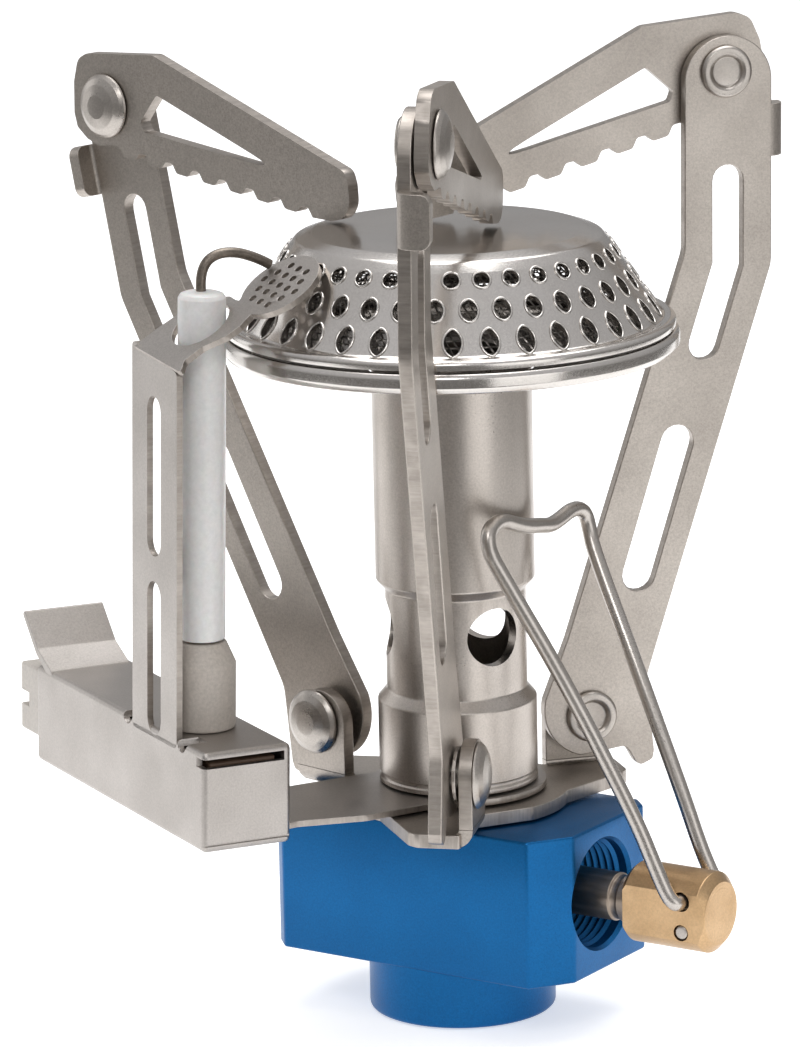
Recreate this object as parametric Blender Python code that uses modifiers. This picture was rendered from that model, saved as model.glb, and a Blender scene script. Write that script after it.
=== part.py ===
"""Folding canister-top camping stove.

Frame: origin at the centre of the connector collar's lower rim, on the burner axis.
+Z runs up the burner axis and +X points out along the valve spindle.  Metres.
Run with: blender --background --python part.py
"""
import math

import bmesh
import bpy
from mathutils import Matrix, Vector

MM = 0.001
GAP = 0.3 * MM               # clearance left between pieces that touch on the real stove

# ---- driving dimensions ---------------------------------------------------------------
SHEET = 1.7 * MM             # legs, pot supports, base plate and its ears
THIN_SHEET = 0.8 * MM        # igniter bracket

COLLAR_R = 11.6 * MM
BLOCK_BOTTOM = 7.3 * MM
BLOCK_TOP = 25.9 * MM
VALVE_Z = 17.0 * MM          # height of the spindle axis

PLATE_BOTTOM = BLOCK_TOP + GAP
PLATE_TOP = PLATE_BOTTOM + SHEET
TONGUE_BOTTOM = PLATE_TOP + GAP
TONGUE_TOP = TONGUE_BOTTOM + THIN_SHEET
TUBE_BASE = TONGUE_TOP + GAP
TUBE_R = 9.8 * MM
TUBE_TOP = 82.6 * MM
SPIGOT_R = 6.0 * MM
RIM_R = 27.9 * MM

LEG_AZIMUTHS = (49.2, 169.2, 291.8)      # degrees, seen from above
LEG_SWING = (0.5, 13.1, 0.5)             # degrees each leg leans out past its drawn pose
LEG_LEAN = (0.0, 0.0, 0.8)               # degrees each leg leans sideways, away from its ear
SUPPORT_DROOP = (6.6, -2.0, 6.4)         # degrees each pot support droops below its drawn pose
LEG_OFFSETS = (3.4 * MM, 3.4 * MM, 2.1 * MM)                    # leg planes beside the burner axis
LEG_PIVOT_R = 18.1 * MM
LEG_PIVOT_Z = 34.5 * MM
LEG_TOP_PIVOT = (17.7 * MM, 80.2 * MM)   # from the lower pivot, in the drawn pose
EAR_GAP = 1.05 * MM                      # room for the washer between leg and ear
RIVET_SHANK_R = 2.0 * MM
RIVET_HOLE_R = 2.3 * MM
RIVET_HEAD_R = 4.05 * MM
RIVET_TAIL_R = 3.2 * MM

KNOB_START = 25.8 * MM
KNOB_END = 37.3 * MM
KNOB_R = 5.0 * MM
KNOB_FLAT = 4.0 * MM
CROSS_HOLE_X = 34.0 * MM
CROSS_HOLE_DZ = 1.95 * MM
STEM_R = 3.0 * MM
WIRE_R = 0.95 * MM

IGNITER_AZIMUTH = 151.3                  # degrees, from the closed end to the plunger end
IGNITER_CENTRE = (-29.7 * MM, -21.65 * MM, 33.6 * MM)
IGNITER_TILT = 1.7                       # degrees of lean about the axis below
IGNITER_TILT_AXIS = (0.55, -0.835, 0.0)
BOX_HALF = (23.8 * MM, 5.9 * MM, 6.2 * MM)
CERAMIC_X = -11.9 * MM                   # along the box
CERAMIC_R = 2.9 * MM
CERAMIC_Y = 0.35 * MM                    # across the box
HOLDER_R = 4.2 * MM
GUIDE_ORIGIN = (-18.05 * MM, -26.75 * MM, 89.0 * MM)
GUIDE_ALONG = (0.794, 0.42, 0.44)      # from the ceramic towards the paddle
GUIDE_NORMAL = (-0.193, -0.512, 0.837)
PADDLE_AT = 10.7 * MM
PADDLE_R = 5.3 * MM
ELECTRODE_R = 0.62 * MM

HOLE_COUNT = 35                          # flame holes in each of three rows
HOLE_PHASE = -56.7                       # degrees

ROUND_COARSE = 16
ROUND_FINE = 40

# ---- scene and materials --------------------------------------------------------------
for old in list(bpy.data.objects):
    bpy.data.objects.remove(old, do_unlink=True)

STOVE = bpy.data.collections.new("camping_stove")
CUTTERS = bpy.data.collections.new("cutters")
bpy.context.scene.collection.children.link(STOVE)
bpy.context.scene.collection.children.link(CUTTERS)


def material(name, colour, roughness, metallic):
    mat = bpy.data.materials.new(name)
    mat.use_nodes = True
    shader = mat.node_tree.nodes["Principled BSDF"]
    shader.inputs["Base Color"].default_value = (*colour, 1.0)
    shader.inputs["Roughness"].default_value = roughness
    shader.inputs["Metallic"].default_value = metallic
    return mat


STEEL = material("satin_stainless", (0.62, 0.58, 0.54), 0.35, 1.0)
POLISHED = material("polished_stainless", (0.70, 0.68, 0.66), 0.18, 1.0)
BLUE = material("blue_anodised", (0.01, 0.20, 0.62), 0.35, 0.6)
BRASS = material("brass", (0.78, 0.55, 0.22), 0.35, 1.0)
DARK = material("dark_steel", (0.20, 0.18, 0.16), 0.40, 1.0)
CERAMIC = material("white_ceramic", (0.90, 0.90, 0.90), 0.35, 0.0)
HOLDER = material("grey_beige_plastic", (0.55, 0.52, 0.48), 0.50, 0.0)
PLASTIC = material("light_grey_plastic", (0.62, 0.60, 0.58), 0.50, 0.0)
PIEZO = material("piezo_body", (0.25, 0.16, 0.10), 0.50, 0.0)
RUBBER = material("black_rubber", (0.02, 0.02, 0.02), 0.80, 0.0)


# ---- modelling helpers ----------------------------------------------------------------
def add(name, data, mat=None, parent=None, matrix=None, cutter=False):
    """Put a mesh or curve in the scene, as a sub-part or as a cutter."""
    obj = bpy.data.objects.new(name, data)
    (CUTTERS if cutter else STOVE).objects.link(obj)
    if parent is not None:
        obj.parent = parent
    if matrix is not None:
        obj.matrix_basis = matrix
    if mat is not None:
        data.materials.append(mat)
    if cutter:
        obj.hide_render = True
        obj.display_type = "WIRE"
    return obj


def frame(name, matrix):
    """An empty that carries a group of sub-parts."""
    empty = bpy.data.objects.new(name, None)
    STOVE.objects.link(empty)
    empty.matrix_world = matrix
    return empty


def boolean(obj, cutter, operation="DIFFERENCE"):
    mod = obj.modifiers.new(operation.lower(), "BOOLEAN")
    mod.operation = operation
    mod.object = cutter
    mod.solver = "EXACT"
    return obj


def arc(cx, cy, radius, start, stop, steps):
    """Points on an arc, angles in degrees."""
    turn = [math.radians(start + (stop - start) * i / steps) for i in range(steps + 1)]
    return [(cx + radius * math.cos(a), cy + radius * math.sin(a)) for a in turn]


def slot_outline(points, half_width, steps=5):
    """A slot with round ends that follows two or three points."""
    spine = [Vector(p) for p in points]
    first = spine[0] - spine[1]
    last = spine[-1] - spine[-2]
    heading = math.degrees(math.atan2(first.y, first.x))
    closing = math.degrees(math.atan2(last.y, last.x))
    outline = arc(*spine[0], half_width, heading - 90, heading + 90, steps)
    sides = []
    for before, at, after in zip(spine, spine[1:], spine[2:]):
        bisector = ((at - before).normalized() + (after - at).normalized()).normalized()
        side = Vector((-bisector.y, bisector.x)) * half_width
        sides.append((tuple(at - side), tuple(at + side)))
    outline += [s[0] for s in sides]
    outline += arc(*spine[-1], half_width, closing - 90, closing + 90, steps)
    outline += [s[1] for s in reversed(sides)]
    return outline


def plate_mesh(name, outline, holes, thickness):
    """A flat sheet part: a filled 2D curve, extruded, welded into one closed mesh."""
    curve = bpy.data.curves.new(name + "_outline", "CURVE")
    curve.dimensions = "2D"
    curve.fill_mode = "BOTH"
    curve.extrude = thickness / 2
    for ring in [outline] + list(holes):
        spline = curve.splines.new("POLY")
        spline.points.add(len(ring) - 1)
        for point, (x, y) in zip(spline.points, ring):
            point.co = (x, y, 0, 1)
        spline.use_cyclic_u = True
    temp = bpy.data.objects.new(name + "_temp", curve)
    bpy.context.scene.collection.objects.link(temp)
    bpy.context.view_layer.update()
    graph = bpy.context.evaluated_depsgraph_get()
    mesh = bpy.data.meshes.new_from_object(temp.evaluated_get(graph))
    bpy.data.objects.remove(temp)
    mesh.name = name
    mesh.materials.clear()
    bm = bmesh.new()
    bm.from_mesh(mesh)
    bmesh.ops.remove_doubles(bm, verts=bm.verts, dist=1e-6)
    bmesh.ops.recalc_face_normals(bm, faces=bm.faces)
    bm.to_mesh(mesh)
    bm.free()
    return mesh


def turned(name, profile, mat, steps, parent=None, matrix=None, closed=False, cutter=False):
    """Revolve (radius, height) points about local Z; the outer side runs top to bottom."""
    mesh = bpy.data.meshes.new(name)
    edges = [(i, i + 1) for i in range(len(profile) - 1)]
    if closed:
        edges.append((len(profile) - 1, 0))
    mesh.from_pydata([(r, 0, z) for r, z in profile], edges, [])
    obj = add(name, mesh, mat, parent, matrix, cutter)
    screw = obj.modifiers.new("turn", "SCREW")
    screw.angle = 2 * math.pi
    screw.steps = steps
    screw.render_steps = steps
    screw.use_merge_vertices = True
    screw.merge_threshold = 1e-6
    screw.use_smooth_shade = steps > 8
    return obj


def rod(name, radius, low, high, mat, steps=ROUND_COARSE, parent=None, matrix=None,
        cutter=False):
    profile = [(0, high), (radius, high), (radius, low), (0, low)]
    return turned(name, profile, mat, steps, parent, matrix, cutter=cutter)


def ring(name, inner, outer, low, high, mat, steps=ROUND_COARSE, parent=None, matrix=None):
    profile = [(inner, high), (outer, high), (outer, low), (inner, low)]
    return turned(name, profile, mat, steps, parent, matrix, closed=True)


def block(name, low, high, mat=None, parent=None, matrix=None, cutter=False):
    """A box between two corners."""
    bm = bmesh.new()
    bmesh.ops.create_cube(bm, size=1.0)
    size = [b - a for a, b in zip(low, high)]
    bmesh.ops.scale(bm, vec=size, verts=bm.verts)
    bmesh.ops.translate(bm, vec=[(a + b) / 2 for a, b in zip(low, high)], verts=bm.verts)
    mesh = bpy.data.meshes.new(name)
    bm.to_mesh(mesh)
    bm.free()
    return add(name, mesh, mat, parent, matrix, cutter)


def wire(name, points, radius, mat, parent=None, matrix=None):
    """A round wire along a polyline."""
    curve = bpy.data.curves.new(name, "CURVE")
    curve.dimensions = "3D"
    curve.bevel_depth = radius
    curve.bevel_resolution = 2
    curve.use_fill_caps = True
    curve.resolution_u = 1
    spline = curve.splines.new("POLY")
    spline.points.add(len(points) - 1)
    for point, co in zip(spline.points, points):
        point.co = (*co, 1)
    return add(name, curve, mat, parent, matrix)


def along_axis(direction, at=(0, 0, 0)):
    """A matrix that points local Z along direction, with its origin at a point."""
    turn = Vector(direction).to_track_quat("Z", "Y").to_matrix().to_4x4()
    return Matrix.Translation(at) @ turn


def leg_plane(index):
    """The frame of a leg's plane: X outwards from the burner axis, Y up, Z sideways."""
    a = math.radians(LEG_AZIMUTHS[index])
    outward = Vector((math.cos(a), math.sin(a), 0))
    sideways = Vector((-math.sin(a), math.cos(a), 0))
    up = Vector((0, 0, 1))
    turn = Matrix((outward, up, -sideways)).transposed().to_4x4()
    return Matrix.Translation(sideways * LEG_OFFSETS[index]) @ turn


# ---- valve body -----------------------------------------------------------------------
def valve_body():
    """The anodised block with its collar, bored for the canister, the valve and the tube."""
    half_w = 11.7 * MM
    end = 20.6 * MM
    outline = [
        (-18.8 * MM, -half_w), (17.0 * MM, -half_w), (end, -6.6 * MM), (end, 9.9 * MM),
        (18.8 * MM, half_w), (-17.0 * MM, half_w), (-end, 6.6 * MM), (-end, -9.9 * MM),
    ]
    mesh = plate_mesh("valve_body", outline, [], BLOCK_TOP - BLOCK_BOTTOM)
    middle = (BLOCK_TOP + BLOCK_BOTTOM) / 2
    body = add("valve_body", mesh, BLUE, matrix=Matrix.Translation((0, 0, middle)))
    edge = body.modifiers.new("machined_edges", "BEVEL")
    edge.width = 0.4 * MM
    edge.segments = 1
    edge.limit_method = "ANGLE"
    chamfer = 0.6 * MM
    collar = turned("cut_collar", [
        (0, BLOCK_BOTTOM + MM), (COLLAR_R, BLOCK_BOTTOM + MM), (COLLAR_R, chamfer),
        (COLLAR_R - chamfer, 0), (0, 0)], None, ROUND_FINE, cutter=True)
    boolean(body, collar, "UNION")
    bores = [
        rod("cut_connector", 5.6 * MM, -MM, 9.5 * MM, None, 24, cutter=True),
        rod("cut_pin_bore", 1.6 * MM, 9 * MM, 13 * MM, None, 12, cutter=True),
        rod("cut_jet_bore", 3.4 * MM, 20 * MM, 24 * MM, None, 16, cutter=True),
        rod("cut_tube_bore", SPIGOT_R + 0.4 * MM, 23 * MM, 27 * MM, None, 24, cutter=True),
    ]
    sideways = along_axis((1, 0, 0), (0, 0, VALVE_Z))
    bores.append(rod("cut_valve_bore", 4.8 * MM, -2.5 * MM, 8 * MM, None, 20,
                     matrix=sideways, cutter=True))
    bores.append(rod("cut_valve_mouth", 6.7 * MM, 7.5 * MM, 22 * MM, None, 24,
                     matrix=sideways, cutter=True))
    for bore in bores:
        boolean(body, bore)


def connector_parts():
    """What sits in the canister connector, and the jet above it."""
    turned("connector_pin", [
        (0, 12.6 * MM), (1.2 * MM, 12.6 * MM), (1.2 * MM, 3.4 * MM), (0.8 * MM, 3.0 * MM),
        (0, 3.0 * MM)], BRASS, 12)
    seal = arc(4.3 * MM, 8.2 * MM, 0.9 * MM, 180, -150, 11)
    turned("canister_seal", seal, RUBBER, 20, closed=True)
    turned("gas_jet", [
        (0.5 * MM, 31.5 * MM), (1.4 * MM, 31.5 * MM), (3.0 * MM, 28.0 * MM),
        (3.0 * MM, 20.8 * MM), (0.5 * MM, 20.8 * MM)], BRASS, 12, closed=True)


def valve_parts():
    """The spindle with everything that turns with it or seals it."""
    axis = along_axis((1, 0, 0), (0, 0, VALVE_Z))
    spindle = turned("valve_spindle", [
        (0, 36.0 * MM), (STEM_R, 36.0 * MM), (STEM_R, 8.0 * MM), (2.6 * MM, 7.6 * MM),
        (2.6 * MM, 2.0 * MM), (0.6 * MM, -1.5 * MM), (0, -1.5 * MM)], DARK, 20, matrix=axis)
    ring("valve_gland", STEM_R + GAP, 6.3 * MM, 8.3 * MM, 12.6 * MM, BRASS, 24, matrix=axis)
    oring = arc(3.7 * MM, 5.2 * MM, 0.75 * MM, 180, -150, 11)
    turned("spindle_oring", oring, RUBBER, 16, matrix=axis, closed=True)

    chamfer = 1.0 * MM
    knob = turned("control_knob", [
        (0, KNOB_END), (KNOB_R - chamfer, KNOB_END), (KNOB_R, KNOB_END - chamfer),
        (KNOB_R, KNOB_START + 0.4 * MM), (KNOB_R - 0.4 * MM, KNOB_START), (0, KNOB_START)],
        BRASS, 32, matrix=axis)
    for side in (-1, 1):
        low = sorted((side * KNOB_FLAT, side * 8 * MM))
        flat = block(f"cut_flat_{side}", (20 * MM, low[0], 8 * MM), (45 * MM, low[1], 26 * MM),
                     cutter=True)
        boolean(knob, flat)
    stem_bore = rod("cut_stem_bore", STEM_R + 0.2 * MM, 20 * MM, 36.3 * MM, None, 20,
                    matrix=axis, cutter=True)
    boolean(knob, stem_bore)
    upper = along_axis((0, 1, 0), (CROSS_HOLE_X, 0, VALVE_Z + CROSS_HOLE_DZ))
    lower = along_axis((0, 1, 0), (CROSS_HOLE_X, 0, VALVE_Z - CROSS_HOLE_DZ))
    wire_hole = rod("cut_wire_hole", WIRE_R + GAP, -6 * MM, 6 * MM, None, 12, matrix=upper,
                    cutter=True)
    pin_hole = rod("cut_pin_hole", 1.2 * MM, -6 * MM, 6 * MM, None, 12, matrix=lower,
                   cutter=True)
    boolean(knob, wire_hole)
    boolean(knob, pin_hole)
    boolean(spindle, wire_hole)
    boolean(spindle, pin_hole)
    rod("knob_pin", 0.9 * MM, -3.9 * MM, 3.9 * MM, STEEL, 12, matrix=lower)


def bail_points(side, lift):
    """Half of the wire bail, from its end in the knob to the middle of the top bar."""
    pivot_z = VALVE_Z / MM + CROSS_HOLE_DZ / MM
    legs = [(34.0, 3.0, pivot_z), (34.0, 4.5, pivot_z), (33.6, 5.15, pivot_z + 0.3),
            (32.2, 5.25, pivot_z + 2.2), (28.9, 5.7, 29.0), (20.8, 7.7, 45.0)]
    top = [(13.2, 10.8, 59.4, 1.0), (12.5, 11.3, 61.4, 1.0), (12.1, 10.9, 63.1, 1.0),
           (11.9, 9.6, 64.1, 1.0), (11.9, 7.7, 64.3, 1.0), (12.0, 5.4, 63.7, 0.8),
           (12.2, 2.6, 62.9, 0.5)]
    half = [(x * MM, side * y * MM, z * MM) for x, y, z in legs]
    return half + [(x * MM, side * y * MM, (z + lift * share) * MM)
                   for x, y, z, share in top]


def valve_handle():
    """The bail; its top bar dips by two millimetres on the far side."""
    far = bail_points(1, -2.0)
    near = bail_points(-1, 0.0)
    middle = [(12.3 * MM, 0.0, 62.4 * MM)]
    wire("valve_handle", far + middle + near[::-1], WIRE_R, STEEL)


# ---- base plate, tube and burner ------------------------------------------------------
def plate_outline():
    """A rounded triangle whose corners carry the leg ears."""
    points = []
    for index, azimuth in enumerate(LEG_AZIMUTHS):
        plane = leg_plane(index)
        ear_side = LEG_OFFSET_TO_EAR + SHEET
        for x, z in ((21.0 * MM, -4.4 * MM), (21.9 * MM, -3.2 * MM),
                     (21.9 * MM, ear_side), (12.9 * MM, ear_side)):
            p = plane @ Vector((x, 0, -z))
            points.append((p.x, p.y))
        points += arc(0, 0, 13.6 * MM, azimuth + 52, azimuth + 88, 4)
    return points


LEG_OFFSET_TO_EAR = SHEET / 2 + EAR_GAP


def base_plate():
    hole = arc(0, 0, SPIGOT_R + 0.4 * MM, 0, 345, 23)
    mesh = plate_mesh("base_plate", plate_outline(), [hole], SHEET)
    middle = (PLATE_BOTTOM + PLATE_TOP) / 2
    plate = add("base_plate", mesh, STEEL, matrix=Matrix.Translation((0, 0, middle)))
    for index in range(3):
        ear = ear_solid(index)
        boolean(plate, ear, "UNION")


def ear_solid(index):
    """An upturned ear: straight sides, a round top and the rivet hole."""
    x0, x1 = 12.95 * MM, 21.25 * MM
    top = arc((x0 + x1) / 2, LEG_PIVOT_Z, (x1 - x0) / 2, 0, 180, 8)
    outline = [(x0, PLATE_BOTTOM + 0.2 * MM), (x1, PLATE_BOTTOM + 0.2 * MM)] + top
    hole = arc(LEG_PIVOT_R, LEG_PIVOT_Z, RIVET_HOLE_R, 0, 330, 11)
    mesh = plate_mesh(f"ear_{index + 1}", outline, [hole], SHEET)
    shift = Matrix.Translation((0, 0, -(LEG_OFFSET_TO_EAR + SHEET / 2)))
    return add(f"ear_{index + 1}", mesh, matrix=leg_plane(index) @ shift, cutter=True)


def mixing_tube():
    waist = 8.68 * MM
    bore = 7.3 * MM
    profile = [
        (bore, TUBE_TOP), (TUBE_R, TUBE_TOP), (TUBE_R, 54.7 * MM), (waist, 53.3 * MM),
        (waist, 41.0 * MM), (TUBE_R, 39.6 * MM), (TUBE_R, TUBE_BASE), (SPIGOT_R, TUBE_BASE),
        (SPIGOT_R, 23.3 * MM), (3.5 * MM, 23.3 * MM), (3.5 * MM, 29.5 * MM),
        (bore, 33.5 * MM),
    ]
    tube = turned("mixing_tube", profile, STEEL, 36, closed=True)
    for k, azimuth in enumerate((-24, 96, 216)):
        a = math.radians(azimuth)
        matrix = along_axis((math.cos(a), math.sin(a), 0), (0, 0, 48.6 * MM))
        hole = rod(f"cut_air_{k}", 3.6 * MM, 4 * MM, 12 * MM, None, 16, matrix=matrix,
                   cutter=True)
        boolean(tube, hole)


def burner_cup():
    """The pressed pan under the head, with the lower bead of the rim."""
    turned("burner_cup", [
        (26.7 * MM, 85.7 * MM), (27.5 * MM, 85.7 * MM), (RIM_R, 85.1 * MM),
        (RIM_R, 83.9 * MM), (27.4 * MM, 83.2 * MM), (26.4 * MM, 83.0 * MM),
        (TUBE_R + GAP, 80.3 * MM), (TUBE_R + GAP, 81.1 * MM), (26.2 * MM, 83.8 * MM),
        (26.7 * MM, 84.4 * MM)], POLISHED, ROUND_FINE, closed=True)


CONE_TOP = (19.7 * MM, 96.15 * MM)
CONE_FOOT = (25.9 * MM, 87.1 * MM)


def burner_head():
    """The polished cap: a flat top, a drilled cone and the upper bead of the rim."""
    wall = 0.5 * MM
    outside = [(0, 98.1 * MM), (12 * MM, 98.1 * MM), (16.7 * MM, 97.95 * MM),
               (18.6 * MM, 97.35 * MM), CONE_TOP, CONE_FOOT, (26.9 * MM, 87.2 * MM),
               (27.5 * MM, 86.7 * MM), (27.4 * MM, 86.0 * MM)]
    inside = [(26.9 * MM, 86.0 * MM), (26.75 * MM, 86.5 * MM),
              (CONE_FOOT[0] - wall, CONE_FOOT[1] - wall), (CONE_TOP[0] - wall, 95.85 * MM),
              (18.2 * MM, 96.85 * MM), (16.6 * MM, 97.45 * MM), (12 * MM, 97.6 * MM),
              (0, 97.6 * MM)]
    head = turned("burner_head", outside + inside, POLISHED, HOLE_COUNT)
    slope = math.atan2(CONE_TOP[1] - CONE_FOOT[1], CONE_FOOT[0] - CONE_TOP[0])
    cutters = bmesh.new()
    rows = ((0.09, 0.0, 0.95, 0.95), (0.44, 0.5, 1.05, 1.35), (0.815, 0.0, 1.1, 1.7))
    for along, stagger, half_w, half_h in rows:
        radius = CONE_TOP[0] + (CONE_FOOT[0] - CONE_TOP[0]) * along
        height = CONE_TOP[1] + (CONE_FOOT[1] - CONE_TOP[1]) * along
        for k in range(HOLE_COUNT):
            a = math.radians(HOLE_PHASE + (k + stagger) * 360 / HOLE_COUNT)
            normal = Vector((math.cos(a) * math.sin(slope), math.sin(a) * math.sin(slope),
                             math.cos(slope)))
            across = Vector((-math.sin(a), math.cos(a), 0))
            down = normal.cross(across)
            turn = Matrix((across, down, normal)).transposed().to_4x4()
            at = Vector((radius * math.cos(a), radius * math.sin(a), height))
            size = Matrix.Diagonal((half_w * MM, half_h * MM, 3 * MM, 1))
            matrix = Matrix.Translation(at) @ turn @ size
            bmesh.ops.create_cone(cutters, cap_ends=True, segments=6, radius1=1, radius2=1,
                                  depth=1, matrix=matrix)
    mesh = bpy.data.meshes.new("cut_flame_holes")
    cutters.to_mesh(mesh)
    cutters.free()
    boolean(head, add("cut_flame_holes", mesh, cutter=True))


def flame_gauze():
    turned("flame_gauze", [
        (16.9 * MM, 96.0 * MM), (17.9 * MM, 95.5 * MM), (24.2 * MM, 86.3 * MM),
        (23.8 * MM, 86.1 * MM), (17.6 * MM, 95.2 * MM), (16.9 * MM, 95.6 * MM)],
        DARK, 24, closed=True)


# ---- legs and pot supports ------------------------------------------------------------
def leg_outline():
    """A leg in its plane, from the lower pivot, upper half upright."""
    foot = [(4.4, -4.3), (5.0, -5.0), (5.8, -6.5), (6.6, -6.95), (8.1, -6.3), (8.3, -5.2)]
    outer = [(7.3, 4.3), (8.8, 9.1), (23.7, 56.0), (23.7, 78.9)]
    inner = [(12.4, 78.9), (12.4, 58.0), (-3.0, 10.1), (-5.7, 3.4)]
    points = [(x * MM, y * MM) for x, y in foot + outer]
    points += arc(18.05 * MM, 78.9 * MM, 5.65 * MM, 15, 165, 7)
    points += [(x * MM, y * MM) for x, y in inner]
    points += arc(0.2 * MM, 1.1 * MM, 6.3 * MM, 180, 255, 5)
    return points


def leg_matrix(index):
    """Where a leg stands: turned outwards about its lower pivot."""
    pivot = Matrix.Translation((LEG_PIVOT_R, LEG_PIVOT_Z, 0))
    lean = Matrix.Rotation(-math.radians(LEG_LEAN[index]), 4, "X")
    swing = Matrix.Rotation(-math.radians(LEG_SWING[index]), 4, "Z")
    return leg_plane(index) @ pivot @ lean @ swing


def support_leg(index, mesh):
    carrier = frame(f"leg_axis_{index + 1}", leg_matrix(index))
    leg = add(f"support_leg_{index + 1}", mesh, STEEL, carrier)
    side = SHEET / 2
    low, high = 69.3 * MM, 75.8 * MM
    lip = block(f"stop_root_{index}", (23.2 * MM, low, -side), (25.6 * MM, high, side),
                parent=carrier, cutter=True)
    tab = block(f"stop_tab_{index}", (25.6 * MM - SHEET, low, -side - 2.55 * MM),
                (25.6 * MM + 0.02 * MM, high, side), parent=carrier, cutter=True)
    boolean(leg, lip, "UNION")
    boolean(leg, tab, "UNION")
    return carrier


def support_outline():
    """A serrated pot support from its rivet, teeth along the lower edge."""
    pitch = 4.74
    drop = 0.75
    teeth = []
    for k in range(8):
        x, y = -1.6 - k * pitch, -4.95 - k * drop
        teeth += [(x + 0.6, y), (x - 0.6, y - 0.1), (x - 1.35, y - 1.35), (x - 3.4, y - 1.65)]
    end = [(5.7, -1.2), (5.3, -3.0), (3.6, -4.4), (1.6, -5.2)]
    tip = [(-39.5, -11.7), (-41.3, -11.4), (-42.6, -9.7), (-42.5, -7.2), (-42.0, -5.5)]
    top = [(-9.2, 6.9), (2.9, 6.5), (4.6, 5.6), (5.4, 2.8)]
    return [(x * MM, y * MM) for x, y in reversed(end[:] + teeth[:-1] + tip + top)]


def support_window():
    points = [(-9.3, 1.5), (-8.6, 1.0), (-6.6, -1.7), (-7.0, -2.8), (-30.2, -6.1),
              (-30.6, -5.6)]
    return [(x * MM, y * MM) for x, y in points]


def rivet(name, parent, at, head_from, head_side, tail_to):
    """A domed rivet through two sheets; its tail is flared and cupped."""
    x, y = at
    dome = [(0, 1.65), (1.6, 1.45), (3.0, 0.95), (3.85, 0.35), (4.05, 0)]
    profile = [(r * MM, head_from + h * MM) for r, h in dome]
    profile += [(RIVET_SHANK_R, head_from), (RIVET_SHANK_R, tail_to),
                (RIVET_TAIL_R, tail_to), (RIVET_TAIL_R - 0.4 * MM, tail_to - 0.7 * MM),
                (2.05 * MM, tail_to - 0.7 * MM), (1.8 * MM, tail_to - 0.1 * MM),
                (0, tail_to - 0.05 * MM)]
    direction = Matrix.Rotation(math.pi if head_side < 0 else 0, 4, "X")
    matrix = Matrix.Translation((x, y, 0)) @ direction
    return turned(name, profile, STEEL, 18, parent, matrix)


def legs_and_supports():
    pivot = arc(0, 0, RIVET_HOLE_R, 0, 330, 11)
    upper = arc(*LEG_TOP_PIVOT, RIVET_HOLE_R, 0, 330, 11)
    long_slot = slot_outline([(18.0 * MM, 66.6 * MM), (18.0 * MM, 56.1 * MM),
                              (14.9 * MM, 46.3 * MM)], 1.97 * MM)
    low_slot = slot_outline([(11.4 * MM, 34.2 * MM), (6.3 * MM, 17.6 * MM)], 2.1 * MM)
    leg_mesh = plate_mesh("leg_sheet", leg_outline(), [pivot, upper, long_slot, low_slot],
                          SHEET)
    arm_mesh = plate_mesh("support_sheet", support_outline(), [pivot, support_window()],
                          SHEET)
    for index in range(3):
        number = index + 1
        carrier = support_leg(index, leg_mesh.copy())
        side = SHEET / 2
        arm_offset = SHEET + GAP
        turn = math.radians(SUPPORT_DROOP[index] + LEG_SWING[index])
        # local Z points to the tail side, so the sheet beside the leg lies at negative Z
        shift = Matrix.Translation((*LEG_TOP_PIVOT, -arm_offset))
        add(f"pot_support_{number}", arm_mesh.copy(), STEEL, carrier,
            shift @ Matrix.Rotation(turn, 4, "Z"))
        rivet(f"support_rivet_{number}", carrier, LEG_TOP_PIVOT,
              arm_offset + side + GAP, -1, -side - GAP)
        fixed = frame(f"leg_pivot_{number}", leg_plane(index))
        at = (LEG_PIVOT_R, LEG_PIVOT_Z)
        rivet(f"leg_rivet_{number}", fixed, at,
              LEG_OFFSET_TO_EAR + SHEET + GAP, -1, -side - GAP)
        middle = -(side + EAR_GAP / 2)
        thick = EAR_GAP / 2 - GAP
        ring(f"leg_washer_{number}", RIVET_HOLE_R, 3.5 * MM, -thick, thick, STEEL, 16, fixed,
             Matrix.Translation((*at, middle)))


# ---- igniter --------------------------------------------------------------------------
def igniter_frame():
    return frame("igniter_frame", igniter_matrix())


def igniter_matrix():
    """The box's frame: X along it towards the plunger, Z up through the ceramic."""
    turn = Matrix.Rotation(math.radians(IGNITER_AZIMUTH), 4, "Z")
    tilt = Matrix.Rotation(math.radians(-IGNITER_TILT), 4, Vector(IGNITER_TILT_AXIS))
    return Matrix.Translation(IGNITER_CENTRE) @ tilt @ turn


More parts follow.
